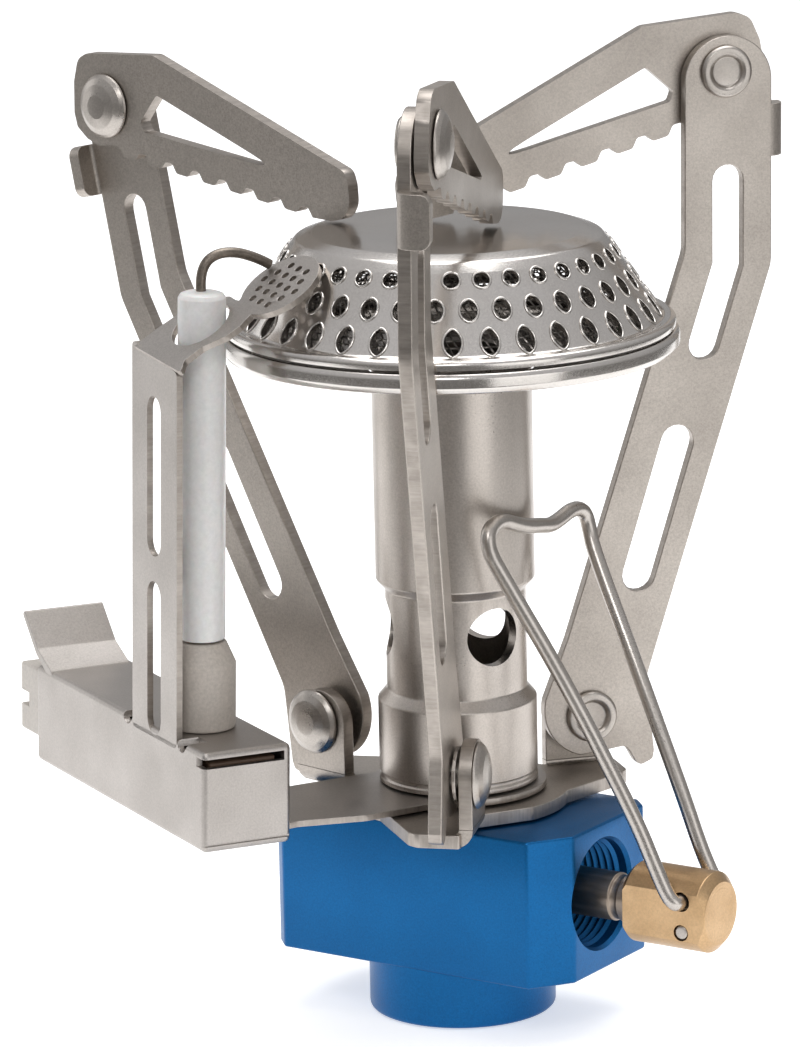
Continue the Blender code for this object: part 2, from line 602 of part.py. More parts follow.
def igniter_housing(base):
    """One folded sheet: box, upright, spark guide, thumb tab and mounting tongue."""
    lx, ly, lz = BOX_HALF
    wall = THIN_SHEET
    box = block("igniter_housing", (-lx, -ly, -lz), (lx, ly, lz), STEEL, base)
    hollow = block("cut_hollow", (-lx + wall, -ly + wall, -lz + wall),
                   (lx + MM, ly - wall, lz - wall), parent=base, cutter=True)
    boolean(box, hollow)
    slit = block("cut_slit", (-lx - MM, -4.9 * MM, lz - wall - 1.15 * MM),
                 (-lx + 2 * MM, 6.5 * MM, lz - wall), parent=base, cutter=True)
    boolean(box, slit)
    upright_plate = [(-4.2 * MM, 3.0 * MM), (-4.2 * MM, 53.1 * MM), (-16.4 * MM, 51.2 * MM),
                     (-16.4 * MM, 3.0 * MM)]
    slots = [slot_outline([(-10.2 * MM, 7.2 * MM), (-10.2 * MM, 22.6 * MM)], 1.85 * MM),
             slot_outline([(-10.2 * MM, 29.4 * MM), (-10.2 * MM, 45.4 * MM)], 1.85 * MM)]
    stand = Matrix.Translation((0, ly - wall / 2 - 0.01 * MM, 0)) @ Matrix.Rotation(
        math.pi / 2, 4, "X")
    upright = add("upright", plate_mesh("upright", upright_plate, slots, wall), None, base,
                  stand, cutter=True)
    boolean(box, upright, "UNION")
    for k, x in enumerate((-2.7 * MM, -17.7 * MM)):
        relief = rod(f"cut_relief_{k}", 1.25 * MM, 3 * MM, 8 * MM, None, 10, base,
                     along_axis((0, 1, 0), (x, 0, lz)), cutter=True)
        boolean(box, relief)
    holder_hole = rod("cut_holder_hole", 2.2 * MM, 3 * MM, 8 * MM, None, 12, base,
                      Matrix.Translation((CERAMIC_X, CERAMIC_Y, 0)), cutter=True)
    boolean(box, holder_hole)
    boolean(box, guide_plate(), "UNION")
    boolean(box, thumb_tab(base), "UNION")
    boolean(box, tongue(), "UNION")


def guide_matrix():
    along = Vector(GUIDE_ALONG).normalized()
    normal = Vector(GUIDE_NORMAL).normalized()
    across = normal.cross(along)
    turn = Matrix((along, across, normal)).transposed().to_4x4()
    return Matrix.Translation(GUIDE_ORIGIN) @ turn


def guide_plate():
    """The sloping plate that rings the ceramic and ends in the round paddle."""
    front = [(-8.9, 2.4), (-3.2, -8.7), (-2.6, -6.4), (-0.2, -5.3), (3.2, -5.5), (5.0, -4.8),
             (6.0, -3.9)]
    back = [(5.3, 1.0), (4.9, 1.5), (4.2, 3.0), (1.8, 4.7), (-2.0, 5.0),
            (-5.6, 3.9)]
    outline = [(x * MM, y * MM) for x, y in front]
    outline += arc(PADDLE_AT, 0, PADDLE_R, -140, 165, 16)
    outline += [(x * MM, y * MM) for x, y in back]
    hole = arc(0, 0, 4.0 * MM, 0, 337.5, 15)
    mesh = plate_mesh("spark_guide", outline, [hole], THIN_SHEET)
    return add("spark_guide", mesh, matrix=guide_matrix(), cutter=True)


def thumb_tab(base):
    """A tab bent up and back over the plunger end."""
    profile = [(19.0, 5.6), (20.8, 5.6), (24.0, 7.6), (28.0, 11.8), (27.4, 12.4),
               (23.4, 8.3), (19.6, 6.4)]
    mesh = plate_mesh("thumb_tab", [(x * MM, z * MM) for x, z in profile], [], 10.9 * MM)
    stand = Matrix.Translation((0, 0.4 * MM, 0)) @ Matrix.Rotation(math.pi / 2, 4, "X")
    return add("thumb_tab", mesh, None, base, stand, cutter=True)


def tongue():
    """The flat tongue clamped between the base plate and the tube."""
    box = igniter_matrix()
    near = box @ Vector((-BOX_HALF[0] + 1.2 * MM, -BOX_HALF[1] + 0.4 * MM, 0))
    far = box @ Vector((-8.0 * MM, -BOX_HALF[1] + 0.4 * MM, 0))
    edge = [(-6.6, -26.0), (-0.65, -19.7), (3.05, -12.35)]
    outline = [(near.x, near.y)] + [(x * MM, y * MM) for x, y in edge]
    outline += arc(0, 0, 10.85 * MM, -44, 196, 18)
    outline += [(far.x, far.y)]
    hole = arc(0, 0, SPIGOT_R + 0.4 * MM, 0, 345, 23)
    mesh = plate_mesh("tongue", outline, [hole], THIN_SHEET)
    middle = (TONGUE_BOTTOM + TONGUE_TOP) / 2
    return add("tongue", mesh, matrix=Matrix.Translation((0, 0, middle)), cutter=True)


def igniter_parts(base):
    block("piezo_unit", (-22.4 * MM, -4.4 * MM, -4.6 * MM), (9.6 * MM, 4.4 * MM, 4.5 * MM),
          PIEZO, base)
    plunger = block("igniter_plunger", (13.8 * MM, -4.3 * MM, -4.2 * MM),
                    (32.0 * MM, 4.3 * MM, 4.6 * MM), PLASTIC, base)
    notch = block("cut_notch", (29.6 * MM, -5 * MM, -0.9 * MM), (33 * MM, 5 * MM, 0.9 * MM),
                  parent=base, cutter=True)
    boolean(plunger, notch)
    lengthwise = along_axis((1, 0, 0))
    bore = rod("cut_plunger_bore", 3.5 * MM, 13 * MM, 27.2 * MM, None, 14, base, lengthwise,
               cutter=True)
    boolean(plunger, bore)
    ring("plunger_spring", 2.2 * MM, 3.1 * MM, 9.9 * MM, 22.8 * MM, STEEL, 12, base,
         lengthwise)
    top = BOX_HALF[2]
    upright = Matrix.Translation((CERAMIC_X, CERAMIC_Y, 0))
    turned("insulator_holder", [
        (0, 16.9 * MM), (3.1 * MM, 16.9 * MM), (HOLDER_R, 14.3 * MM),
        (HOLDER_R, top + GAP), (1.8 * MM, top + GAP), (1.8 * MM, 4.9 * MM), (0, 4.9 * MM)],
        HOLDER, 20, base, upright)
    turned("ceramic_insulator", [
        (0, 59.9 * MM), (2.2 * MM, 59.7 * MM), (CERAMIC_R, 59.1 * MM),
        (CERAMIC_R, 17.2 * MM), (0, 17.2 * MM)], CERAMIC, 20, base,
        upright)


def electrode():
    """A hooked wire from the ceramic's tip, bent over towards the burner."""
    x, y, _ = GUIDE_ORIGIN
    inward = -Vector((x, y, 0)).normalized()
    foot = Vector((x, y, 0))
    reach = [(0.0, 93.8), (0.0, 94.8), (0.4, 95.9), (1.3, 96.9), (2.7, 97.5), (4.4, 97.5),
             (6.2, 97.0), (7.8, 96.4), (8.8, 95.8)]
    points = [tuple(foot + inward * r * MM + Vector((0, 0, z * MM))) for r, z in reach]
    wire("electrode_wire", points, ELECTRODE_R, DARK)


# ---- assembly -------------------------------------------------------------------------
valve_body()
connector_parts()
valve_parts()
valve_handle()
base_plate()
mixing_tube()
burner_cup()
burner_head()
flame_gauze()
legs_and_supports()
igniter = igniter_frame()
igniter_housing(igniter)
igniter_parts(igniter)
electrode()
bpy.context.view_layer.update()
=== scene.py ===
"""Looks for the folding canister-top camping stove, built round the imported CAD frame.

The frame's origin is the centre of the connector collar's lower rim, +Z runs up the burner
axis and +X out along the valve spindle.  Lengths are in metres; MM makes them readable.
"""
import math

import bmesh
import bpy
from mathutils import Matrix, Vector


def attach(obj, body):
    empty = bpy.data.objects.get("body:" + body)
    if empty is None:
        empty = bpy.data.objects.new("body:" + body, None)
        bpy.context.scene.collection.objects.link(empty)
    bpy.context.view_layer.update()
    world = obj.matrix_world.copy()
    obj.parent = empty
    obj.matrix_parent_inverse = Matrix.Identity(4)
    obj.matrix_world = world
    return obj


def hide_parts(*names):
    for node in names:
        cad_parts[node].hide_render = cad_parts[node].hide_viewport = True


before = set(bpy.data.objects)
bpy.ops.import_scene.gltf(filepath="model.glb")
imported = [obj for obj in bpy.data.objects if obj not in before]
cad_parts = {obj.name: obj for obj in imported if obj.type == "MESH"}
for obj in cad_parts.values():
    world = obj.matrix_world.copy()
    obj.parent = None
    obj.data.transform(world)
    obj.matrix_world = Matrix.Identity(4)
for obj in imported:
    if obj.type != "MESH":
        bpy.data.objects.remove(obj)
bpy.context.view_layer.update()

MM = 0.001
SHEET = 1.7 * MM                 # base plate, legs and pot supports
THIN_SHEET = 0.8 * MM            # igniter housing
RELIEF_DEPTH = 0.04 * MM         # height of the fine bump on every material
RING_PITCH = 0.22 * MM           # tool marks on the turned brass
RING_DEPTH = 0.06 * MM

# valve block, spindle and knob
BLOCK_BOTTOM = 7.3 * MM
BLOCK_TOP = 25.9 * MM
VALVE_Z = 17.0 * MM              # height of the spindle's axis
CROSS_HOLE_X = 34.0 * MM         # the bail's hole through the knob, along the spindle
CROSS_HOLE_DZ = 1.95 * MM        # its height over the spindle's axis
WIRE_RADIUS = 0.95 * MM
BAIL_DIP = -2.0                  # millimetres by which one side of the top bar is lower

# base plate and legs: each row has one value for each leg, angles in degrees
PLATE_Z = 27.05 * MM             # middle of the base plate
TUBE_HOLE_R = 6.4 * MM           # the tube's foot passes through plate and tongue
EAR_BEND_R = 2.2 * MM            # outer radius of the bend between plate and ear
EAR_START = 12.95 * MM
EAR_STOP = 21.25 * MM
LEG_AZIMUTHS = (49.2, 169.2, 291.8)
LEG_SWING = (0.5, 13.1, 0.5)
LEG_LEAN = (0.0, 0.0, 0.8)
SUPPORT_DROOP = (6.6, -2.0, 6.4)
LEG_OFFSETS = (3.4 * MM, 3.4 * MM, 2.1 * MM)
LEG_PIVOT_R = 18.1 * MM
LEG_PIVOT_Z = 34.5 * MM
LEG_TOP_PIVOT = (17.7 * MM, 80.2 * MM)
PIVOT_HOLE_R = 2.2 * MM
EAR_FROM_LEG = 1.9 * MM          # leg centre to the near face of its ear
ARM_GAP = 0.3 * MM               # between a leg and its pot support
RIVET_GAP = 0.15 * MM            # between a sheet and the rivet's head or tail
TOOTH_COUNT = 8

# mixing tube and burner
AIR_HOLE_AZIMUTHS = (-24, 96, 216)
AIR_HOLE_Z = 48.6 * MM
HOLE_COUNT = 35                  # flame holes in each of the three rows
HOLE_PHASE = -56.7               # degrees
CONE_TOP = (19.7 * MM, 96.15 * MM)
CONE_FOOT = (25.9 * MM, 87.1 * MM)
LIP_RADIUS = 0.17 * MM
GAUZE_WIRE = 0.24 * MM

# igniter, angles in degrees
IGNITER_AZIMUTH = 151.3
IGNITER_CENTRE = (-29.7 * MM, -21.65 * MM, 33.6 * MM)
IGNITER_TILT = 1.7               # lean about the axis below
IGNITER_TILT_AXIS = (0.55, -0.835, 0.0)
BOX_HALF = (23.8 * MM, 5.9 * MM, 6.2 * MM)
TONGUE_Z = 28.6 * MM             # middle of the tongue under the tube's shoulder
CERAMIC_X = -11.9 * MM
CERAMIC_Y = 0.35 * MM
GUIDE_ORIGIN = (-18.05 * MM, -26.75 * MM, 89.0 * MM)
GUIDE_ALONG = (0.794, 0.42, 0.44)
GUIDE_NORMAL = (-0.193, -0.512, 0.837)
PADDLE_AT = 10.7 * MM            # from the guide's origin to the paddle's centre
PADDLE_RADIUS = 5.3 * MM
PADDLE_HOLE_PITCH = 1.8 * MM
PADDLE_ROW_PITCH = 1.56 * MM
PADDLE_HOLES_WITHIN = 4.1 * MM


# ---- materials ----
def noise(mat, vector, scale, detail, roughness=0.5):
    """The value socket of a noise texture on a vector socket."""
    node = mat.node_tree.nodes.new("ShaderNodeTexNoise")
    node.inputs["Scale"].default_value = scale
    node.inputs["Detail"].default_value = detail
    node.inputs["Roughness"].default_value = roughness
    mat.node_tree.links.new(vector, node.inputs["Vector"])
    return node.outputs["Fac"]


def remap(mat, value, low, high, to_low, to_high):
    """The result socket of a map-range node on a value socket."""
    node = mat.node_tree.nodes.new("ShaderNodeMapRange")
    node.inputs["From Min"].default_value = low
    node.inputs["From Max"].default_value = high
    node.inputs["To Min"].default_value = to_low
    node.inputs["To Max"].default_value = to_high
    mat.node_tree.links.new(value, node.inputs["Value"])
    return node.outputs["Result"]


def surface(name, colour, roughness, metallic=1.0, grain=2600.0, bump=0.06, spread=0.10,
            tint=None, tint_scale=90.0, stretch=(1, 1, 1), coat=0.0, blotch=0.35,
            speckle=0.0):
    """A Principled material whose roughness, tone and relief come from layered noise.

    It drifts from colour to tint in broad patches, and speckle adds a fine grain.
    """
    mat = bpy.data.materials.new(name)
    mat.use_nodes = True
    nodes = mat.node_tree.nodes
    links = mat.node_tree.links
    shader = nodes["Principled BSDF"]
    shader.inputs["Metallic"].default_value = metallic
    shader.inputs["Coat Weight"].default_value = coat
    shader.inputs["Coat Roughness"].default_value = 0.12
    place = nodes.new("ShaderNodeTexCoord")
    mapping = nodes.new("ShaderNodeMapping")
    mapping.inputs["Scale"].default_value = stretch
    links.new(place.outputs["Object"], mapping.inputs["Vector"])
    fine = noise(mat, mapping.outputs["Vector"], grain, 5.0, 0.65)
    broad = noise(mat, place.outputs["Object"], tint_scale, 4.0)
    tones = nodes.new("ShaderNodeMix")
    tones.data_type = "RGBA"
    tones.inputs["A"].default_value = (*colour, 1)
    tones.inputs["B"].default_value = (*(tint or [c * 0.8 for c in colour]), 1)
    amount = remap(mat, broad, 0.35, 0.75, 0.0, blotch * 2)
    links.new(amount, tones.inputs["Factor"])
    speckled = nodes.new("ShaderNodeVectorMath")
    speckled.operation = "SCALE"
    links.new(tones.outputs["Result"], speckled.inputs[0])
    links.new(remap(mat, fine, 0.33, 0.67, 1 - speckle, 1 + speckle),
              speckled.inputs["Scale"])
    links.new(speckled.outputs["Vector"], shader.inputs["Base Color"])
    # the roughness follows the mean of the fine and the broad noise
    blend = nodes.new("ShaderNodeMath")
    blend.operation = "MULTIPLY_ADD"
    blend.inputs[1].default_value = 0.5
    halved = nodes.new("ShaderNodeMath")
    halved.operation = "MULTIPLY"
    halved.inputs[1].default_value = 0.5
    links.new(broad, halved.inputs[0])
    links.new(fine, blend.inputs[0])
    links.new(halved.outputs["Value"], blend.inputs[2])
    rough = remap(mat, blend.outputs["Value"], 0.3, 0.7, max(0.02, roughness - spread),
                  roughness + spread)
    links.new(rough, shader.inputs["Roughness"])
    relief = nodes.new("ShaderNodeBump")
    relief.inputs["Strength"].default_value = bump
    relief.inputs["Distance"].default_value = RELIEF_DEPTH
    links.new(fine, relief.inputs["Height"])
    links.new(relief.outputs["Normal"], shader.inputs["Normal"])
    return mat


def add_rings(mat, centre, axis, pitch, strength):
    """Adds the fine circular tool marks of a turned face to a material."""
    nodes = mat.node_tree.nodes
    links = mat.node_tree.links
    place = nodes.new("ShaderNodeTexCoord")
    shift = nodes.new("ShaderNodeVectorMath")
    shift.operation = "SUBTRACT"
    shift.inputs[1].default_value = centre
    links.new(place.outputs["Object"], shift.inputs[0])
    flatten = nodes.new("ShaderNodeVectorMath")
    flatten.operation = "MULTIPLY"
    flatten.inputs[1].default_value = [1 - a for a in axis]
    links.new(shift.outputs["Vector"], flatten.inputs[0])
    length = nodes.new("ShaderNodeVectorMath")
    length.operation = "LENGTH"
    links.new(flatten.outputs["Vector"], length.inputs[0])
    scaled = nodes.new("ShaderNodeMath")
    scaled.operation = "MULTIPLY"
    scaled.inputs[1].default_value = 1 / pitch
    links.new(length.outputs["Value"], scaled.inputs[0])
    bands = nodes.new("ShaderNodeTexNoise")
    bands.noise_dimensions = "1D"
    bands.inputs["Scale"].default_value = 1.0
    bands.inputs["Detail"].default_value = 3.0
    links.new(scaled.outputs["Value"], bands.inputs["W"])
    marks = nodes.new("ShaderNodeBump")
    marks.inputs["Strength"].default_value = strength
    marks.inputs["Distance"].default_value = RING_DEPTH
    links.new(bands.outputs["Fac"], marks.inputs["Height"])
    shader = nodes["Principled BSDF"]
    before = shader.inputs["Normal"].links[0].from_socket
    links.new(before, marks.inputs["Normal"])
    links.new(marks.outputs["Normal"], shader.inputs["Normal"])


STEEL = surface("tumbled_stainless", (0.46, 0.42, 0.38), 0.40, tint=(0.38, 0.343, 0.308),
                grain=4200.0, bump=0.45, spread=0.10, speckle=0.16)
CUT_EDGE = surface("sheared_edge", (0.42, 0.38, 0.345), 0.42, tint=(0.30, 0.27, 0.24),
                   grain=2600.0, stretch=(1, 1, 0.12), bump=0.22, spread=0.12,
                   tint_scale=500.0, speckle=0.14)
RIVET = surface("rivet_stainless", (0.48, 0.445, 0.41), 0.34, tint=(0.38, 0.347, 0.315),
                grain=4200.0, bump=0.25, spread=0.10, tint_scale=260.0, speckle=0.12)
POLISHED = surface("polished_stainless", (0.66, 0.63, 0.60), 0.20, tint=(0.58, 0.545, 0.51),
                   grain=4200.0, bump=0.10, spread=0.07, tint_scale=120.0, speckle=0.06)
TURNED = surface("turned_stainless", (0.53, 0.485, 0.445), 0.32, tint=(0.43, 0.39, 0.35),
                 grain=4200.0, bump=0.25, spread=0.08, speckle=0.12)
SHEET_STEEL = surface("bracket_stainless", (0.45, 0.42, 0.395), 0.40,
                      tint=(0.39, 0.362, 0.337), grain=4200.0, bump=0.40, spread=0.10,
                      speckle=0.13)
WIRE = surface("wire_stainless", (0.52, 0.485, 0.45), 0.30, tint=(0.43, 0.395, 0.36),
               grain=3600.0, bump=0.18, spread=0.08, speckle=0.10)
BLUE = surface("blue_anodised", (0.003, 0.112, 0.315), 0.38, metallic=0.8,
               tint=(0.002, 0.095, 0.275), grain=4200.0, bump=0.40, spread=0.07,
               coat=0.05, blotch=0.3, speckle=0.16)
BRASS = surface("turned_brass", (0.56, 0.38, 0.215), 0.36, tint=(0.48, 0.315, 0.165),
                grain=3600.0, bump=0.22, spread=0.10, tint_scale=240.0, speckle=0.12)
add_rings(BRASS, (0, 0, VALVE_Z), (1, 0, 0), RING_PITCH, 0.5)
STEM = surface("valve_stem_steel", (0.36, 0.30, 0.25), 0.36, tint=(0.22, 0.17, 0.13),
               grain=2600.0, stretch=(1, 0.05, 0.05), bump=0.25, speckle=0.2)
DARK = surface("burnt_wire", (0.26, 0.225, 0.19), 0.42, tint=(0.12, 0.10, 0.085),
               bump=0.2, tint_scale=400.0, speckle=0.2)
GAUZE = surface("gauze_wire", (0.34, 0.315, 0.29), 0.40, tint=(0.14, 0.13, 0.12),
                bump=0.1, tint_scale=300.0)
CERAMIC = surface("glazed_ceramic", (0.76, 0.755, 0.745), 0.34, metallic=0.0,
                  tint=(0.72, 0.71, 0.695), grain=1400.0, bump=0.10, spread=0.08, coat=0.2,
                  speckle=0.05)
HOLDER = surface("moulded_grey_beige", (0.47, 0.425, 0.38), 0.50, metallic=0.0,
                 tint=(0.41, 0.37, 0.33), grain=2400.0, bump=0.4, speckle=0.12)
PLASTIC = surface("moulded_light_grey", (0.56, 0.52, 0.475), 0.48, metallic=0.0,
                  tint=(0.49, 0.455, 0.415), grain=2400.0, bump=0.35, speckle=0.10)
PIEZO = surface("piezo_shell", (0.16, 0.10, 0.065), 0.5, metallic=0.0, bump=0.2)
RUBBER = surface("seal_rubber", (0.022, 0.022, 0.022), 0.7, metallic=0.0, bump=0.2)
glaze = CERAMIC.node_tree.nodes["Principled BSDF"]
glaze.inputs["Subsurface Weight"].default_value = 0.15
glaze.inputs["Subsurface Scale"].default_value = 0.001


# ---- modelling helpers ----
def arc(cx, cy, radius, start, stop, steps):
    """Points on an arc, angles in degrees."""
    turn = [math.radians(start + (stop - start) * i / steps) for i in range(steps + 1)]
    return [(cx + radius * math.cos(a), cy + radius * math.sin(a)) for a in turn]


def circle(cx, cy, radius, count):
    """A closed ring of points, the first one not repeated."""
    return arc(cx, cy, radius, 0, 360 - 360 / count, count - 1)


def rounded(points, radius, closed=True, steps=5):
    """Fillets the corners of a polygon or polyline of 2D or 3D points."""
    pts = [Vector(p) for p in points]
    count = len(pts)
    result = []
    for i, here in enumerate(pts):
        if not closed and i in (0, count - 1):
            result.append(tuple(here))
            continue
        before = pts[i - 1] - here
        after = pts[(i + 1) % count] - here
        bend = math.pi - before.angle(after)
        reach = min(radius * math.tan(bend / 2), before.length * 0.45, after.length * 0.45)
        if bend < 0.03 or reach < 1e-6:
            result.append(tuple(here))
            continue
        start = here + before.normalized() * reach
        stop = here + after.normalized() * reach
        for k in range(steps + 1):
            t = k / steps
            result.append(tuple(start.lerp(here, t).lerp(here.lerp(stop, t), t)))
    return result


def mm(points):
    """Points given in millimetres, as metres."""
    return [tuple(c * MM for c in p) for p in points]


def slot_outline(points, half_width, steps=9):
    """A slot with round ends along two or three points."""
    spine = [Vector(p) for p in points]
    first = spine[0] - spine[1]
    last = spine[-1] - spine[-2]
    heading = math.degrees(math.atan2(first.y, first.x))
    closing = math.degrees(math.atan2(last.y, last.x))
    outline = arc(*spine[0], half_width, heading - 90, heading + 90, steps)
    sides = []
    for before, at, after in zip(spine, spine[1:], spine[2:]):
        bisector = ((at - before).normalized() + (after - at).normalized()).normalized()
        side = Vector((-bisector.y, bisector.x)) * half_width
        sides.append((tuple(at - side), tuple(at + side)))
    outline += [s[0] for s in sides]
    outline += arc(*spine[-1], half_width, closing - 90, closing + 90, steps)
    outline += [s[1] for s in reversed(sides)]
    return outline


def placed(name, data):
    """A new object, linked into the scene."""
    obj = bpy.data.objects.new(name, data)
    bpy.context.scene.collection.objects.link(obj)
    return obj


def baked(obj):
    """The mesh of a temporary object after its modifiers; the object is removed."""
    bpy.context.view_layer.update()
    graph = bpy.context.evaluated_depsgraph_get()
    mesh = bpy.data.meshes.new_from_object(obj.evaluated_get(graph))
    bpy.data.objects.remove(obj)
    return mesh


def plate(name, outline, holes, thickness):
    """A flat sheet as a mesh: filled outline, extruded, welded."""
    curve = bpy.data.curves.new(name, "CURVE")
    curve.dimensions = "2D"
    curve.fill_mode = "BOTH"
    curve.extrude = thickness / 2
    for ring in [outline] + list(holes):
        spline = curve.splines.new("POLY")
        spline.points.add(len(ring) - 1)
        for point, (x, y) in zip(spline.points, ring):
            point.co = (x, y, 0, 1)
        spline.use_cyclic_u = True
    mesh = baked(placed(name, curve))
    mesh.materials.clear()
    bm = bmesh.new()
    bm.from_mesh(mesh)
    bmesh.ops.remove_doubles(bm, verts=bm.verts, dist=1e-6)
    bmesh.ops.dissolve_limit(bm, angle_limit=0.01, verts=bm.verts, edges=bm.edges)
    bmesh.ops.recalc_face_normals(bm, faces=bm.faces)
    bm.to_mesh(mesh)
    bm.free()
    return mesh


def lathe(name, profile, steps, closed=False):
    """Revolves (radius, height) points about local Z."""
    bm = bmesh.new()
    rings = []
    for k in range(steps):
        a = 2 * math.pi * k / steps
        rings.append([bm.verts.new((r * math.cos(a), r * math.sin(a), z)) for r, z in profile])
    last = len(profile) if closed else len(profile) - 1
    for k in range(steps):
        here, there = rings[k], rings[(k + 1) % steps]
        for i in range(last):
            j = (i + 1) % len(profile)
            bm.faces.new((here[i], here[j], there[j], there[i]))
    bmesh.ops.remove_doubles(bm, verts=bm.verts, dist=1e-7)
    bmesh.ops.recalc_face_normals(bm, faces=bm.faces)
    mesh = bpy.data.meshes.new(name)
    bm.to_mesh(mesh)
    bm.free()
    return mesh


def drill(radius, low, high, steps):
    """A closed cylinder round local Z, used as a cutter."""
    return lathe("drill", [(0, high), (radius, high), (radius, low), (0, low)], steps)


def box_mesh(name, low, high):
    """A box between two opposite corners."""
    bm = bmesh.new()
    bmesh.ops.create_cube(bm, size=1.0)
    bmesh.ops.scale(bm, vec=[b - a for a, b in zip(low, high)], verts=bm.verts)
    bmesh.ops.translate(bm, vec=[(a + b) / 2 for a, b in zip(low, high)], verts=bm.verts)
    mesh = bpy.data.meshes.new(name)
    bm.to_mesh(mesh)
    bm.free()
    return mesh


def moved(mesh, matrix):
    """The same mesh after a transform of its points."""
    mesh.transform(matrix)
    return mesh


def shaped(mesh, cutters, bevel=0.0):
    """The mesh after an optional edge bevel, with the cutters taken out of it."""
    temp = placed("shape_temp", mesh)
    if bevel:
        edge = temp.modifiers.new("bevel", "BEVEL")
        edge.width = bevel
        edge.segments = 3
        edge.limit_method = "ANGLE"
        edge.angle_limit = math.radians(35)
    tools = []
    for cutter in cutters:
        tool = placed("tool_temp", cutter)
        tools.append(tool)
        mod = temp.modifiers.new("cut", "BOOLEAN")
        mod.operation = "DIFFERENCE"
        mod.object = tool
        mod.solver = "EXACT"
    result = baked(temp)
    for tool in tools:
        bpy.data.objects.remove(tool)
    return result


def piece(name, mesh, mat, body, slot, replaced, matrix=None, bevel=0.12 * MM,
          edge_mat=None, angle=32):
    """Adds a finished piece: material, machined edges, smooth shading and body; slot is not
    used.

    edge_mat goes on the cut edges of a sheet that lies in its own XY plane.
    """
    obj = placed(name, mesh)
    if matrix is not None:
        obj.matrix_world = matrix
    mesh.materials.clear()
    mesh.materials.append(mat)
    mesh.polygons.foreach_set("material_index", [0] * len(mesh.polygons))
    if edge_mat is not None:
        mesh.materials.append(edge_mat)
        for face in mesh.polygons:
            face.material_index = 1 if abs(face.normal.z) < 0.5 else 0
    mesh.shade_smooth()
    if bevel:
        edge = obj.modifiers.new("edges", "BEVEL")
        edge.width = bevel
        edge.segments = 2
        edge.limit_method = "ANGLE"
        edge.angle_limit = math.radians(angle)
        edge.material = 0
        normals = obj.modifiers.new("normals", "WEIGHTED_NORMAL")
        normals.keep_sharp = True
        normals.weight = 80
    else:
        mesh.set_sharp_from_angle(angle=math.radians(angle))
    bpy.context.view_layer.update()
    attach(obj, body)
    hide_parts(*replaced)


def wire(name, points, radius, mat, body, slot, replaced, rounds=3):
    """A round wire along a smoothed polyline."""
    pts = [Vector(p) for p in points]
    for _ in range(rounds):
        finer = [pts[0]]
        for a, b in zip(pts, pts[1:]):
            finer += [a.lerp(b, 0.25), a.lerp(b, 0.75)]
        pts = finer + [pts[-1]]
    curve = bpy.data.curves.new(name, "CURVE")
    curve.dimensions = "3D"
    curve.bevel_depth = radius
    curve.bevel_resolution = 6
    curve.use_fill_caps = True
    spline = curve.splines.new("POLY")
    spline.points.add(len(pts) - 1)
    for point, co in zip(spline.points, pts):
        point.co = (*co, 1)
    spline.use_smooth = True
    mesh = baked(placed(name, curve))
    piece(name, mesh, mat, body, slot, replaced, bevel=0)


def along_axis(direction, at=(0, 0, 0)):
    """The transform that lays local Z along a direction."""
    turn = Vector(direction).to_track_quat("Z", "Y").to_matrix().to_4x4()
    return Matrix.Translation(at) @ turn


def dress(node, mat, bevel=0.0):
    """Gives a CAD node that keeps its shape a material and, if asked, soft edges."""
    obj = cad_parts[node]
    obj.data.materials.clear()
    obj.data.materials.append(mat)
    weld = obj.modifiers.new("weld", "WELD")
    weld.merge_threshold = 1e-6
    if bevel:
        edge = obj.modifiers.new("edges", "BEVEL")
        edge.width = bevel
        edge.segments = 2
        edge.limit_method = "ANGLE"
        edge.angle_limit = math.radians(40)


def leg_plane(index):
    """A leg's plane: X outwards, Y up, Z towards the rivet's tail."""
    a = math.radians(LEG_AZIMUTHS[index])
    outward = Vector((math.cos(a), math.sin(a), 0))
    sideways = Vector((-math.sin(a), math.cos(a), 0))
    turn = Matrix((outward, Vector((0, 0, 1)), -sideways)).transposed().to_4x4()
    return Matrix.Translation(sideways * LEG_OFFSETS[index]) @ turn


def leg_matrix(index):
    """A leg's own frame: its plane, moved to the foot pivot, leaned and swung."""
    pivot = Matrix.Translation((LEG_PIVOT_R, LEG_PIVOT_Z, 0))
    lean = Matrix.Rotation(-math.radians(LEG_LEAN[index]), 4, "X")
    swing = Matrix.Rotation(-math.radians(LEG_SWING[index]), 4, "Z")
    return leg_plane(index) @ pivot @ lean @ swing


SPINDLE_AXIS = along_axis((1, 0, 0), (0, 0, VALVE_Z))
IGNITER = (Matrix.Translation(IGNITER_CENTRE)
           @ Matrix.Rotation(math.radians(-IGNITER_TILT), 4, Vector(IGNITER_TILT_AXIS))
           @ Matrix.Rotation(math.radians(IGNITER_AZIMUTH), 4, "Z"))


# ---- valve block ----
def thread(radius, depth, low, high, pitch):
    """The wavy wall of a threaded bore as (radius, height) points."""
    turns = int((high - low) / pitch)
    points = []
    for k in range(turns):
        z = low + k * pitch
        points += [(radius, z), (radius, z + pitch * 0.15), (radius - depth, z + pitch * 0.5),
                   (radius - depth, z + pitch * 0.62)]
    return points + [(radius, low + turns * pitch)]


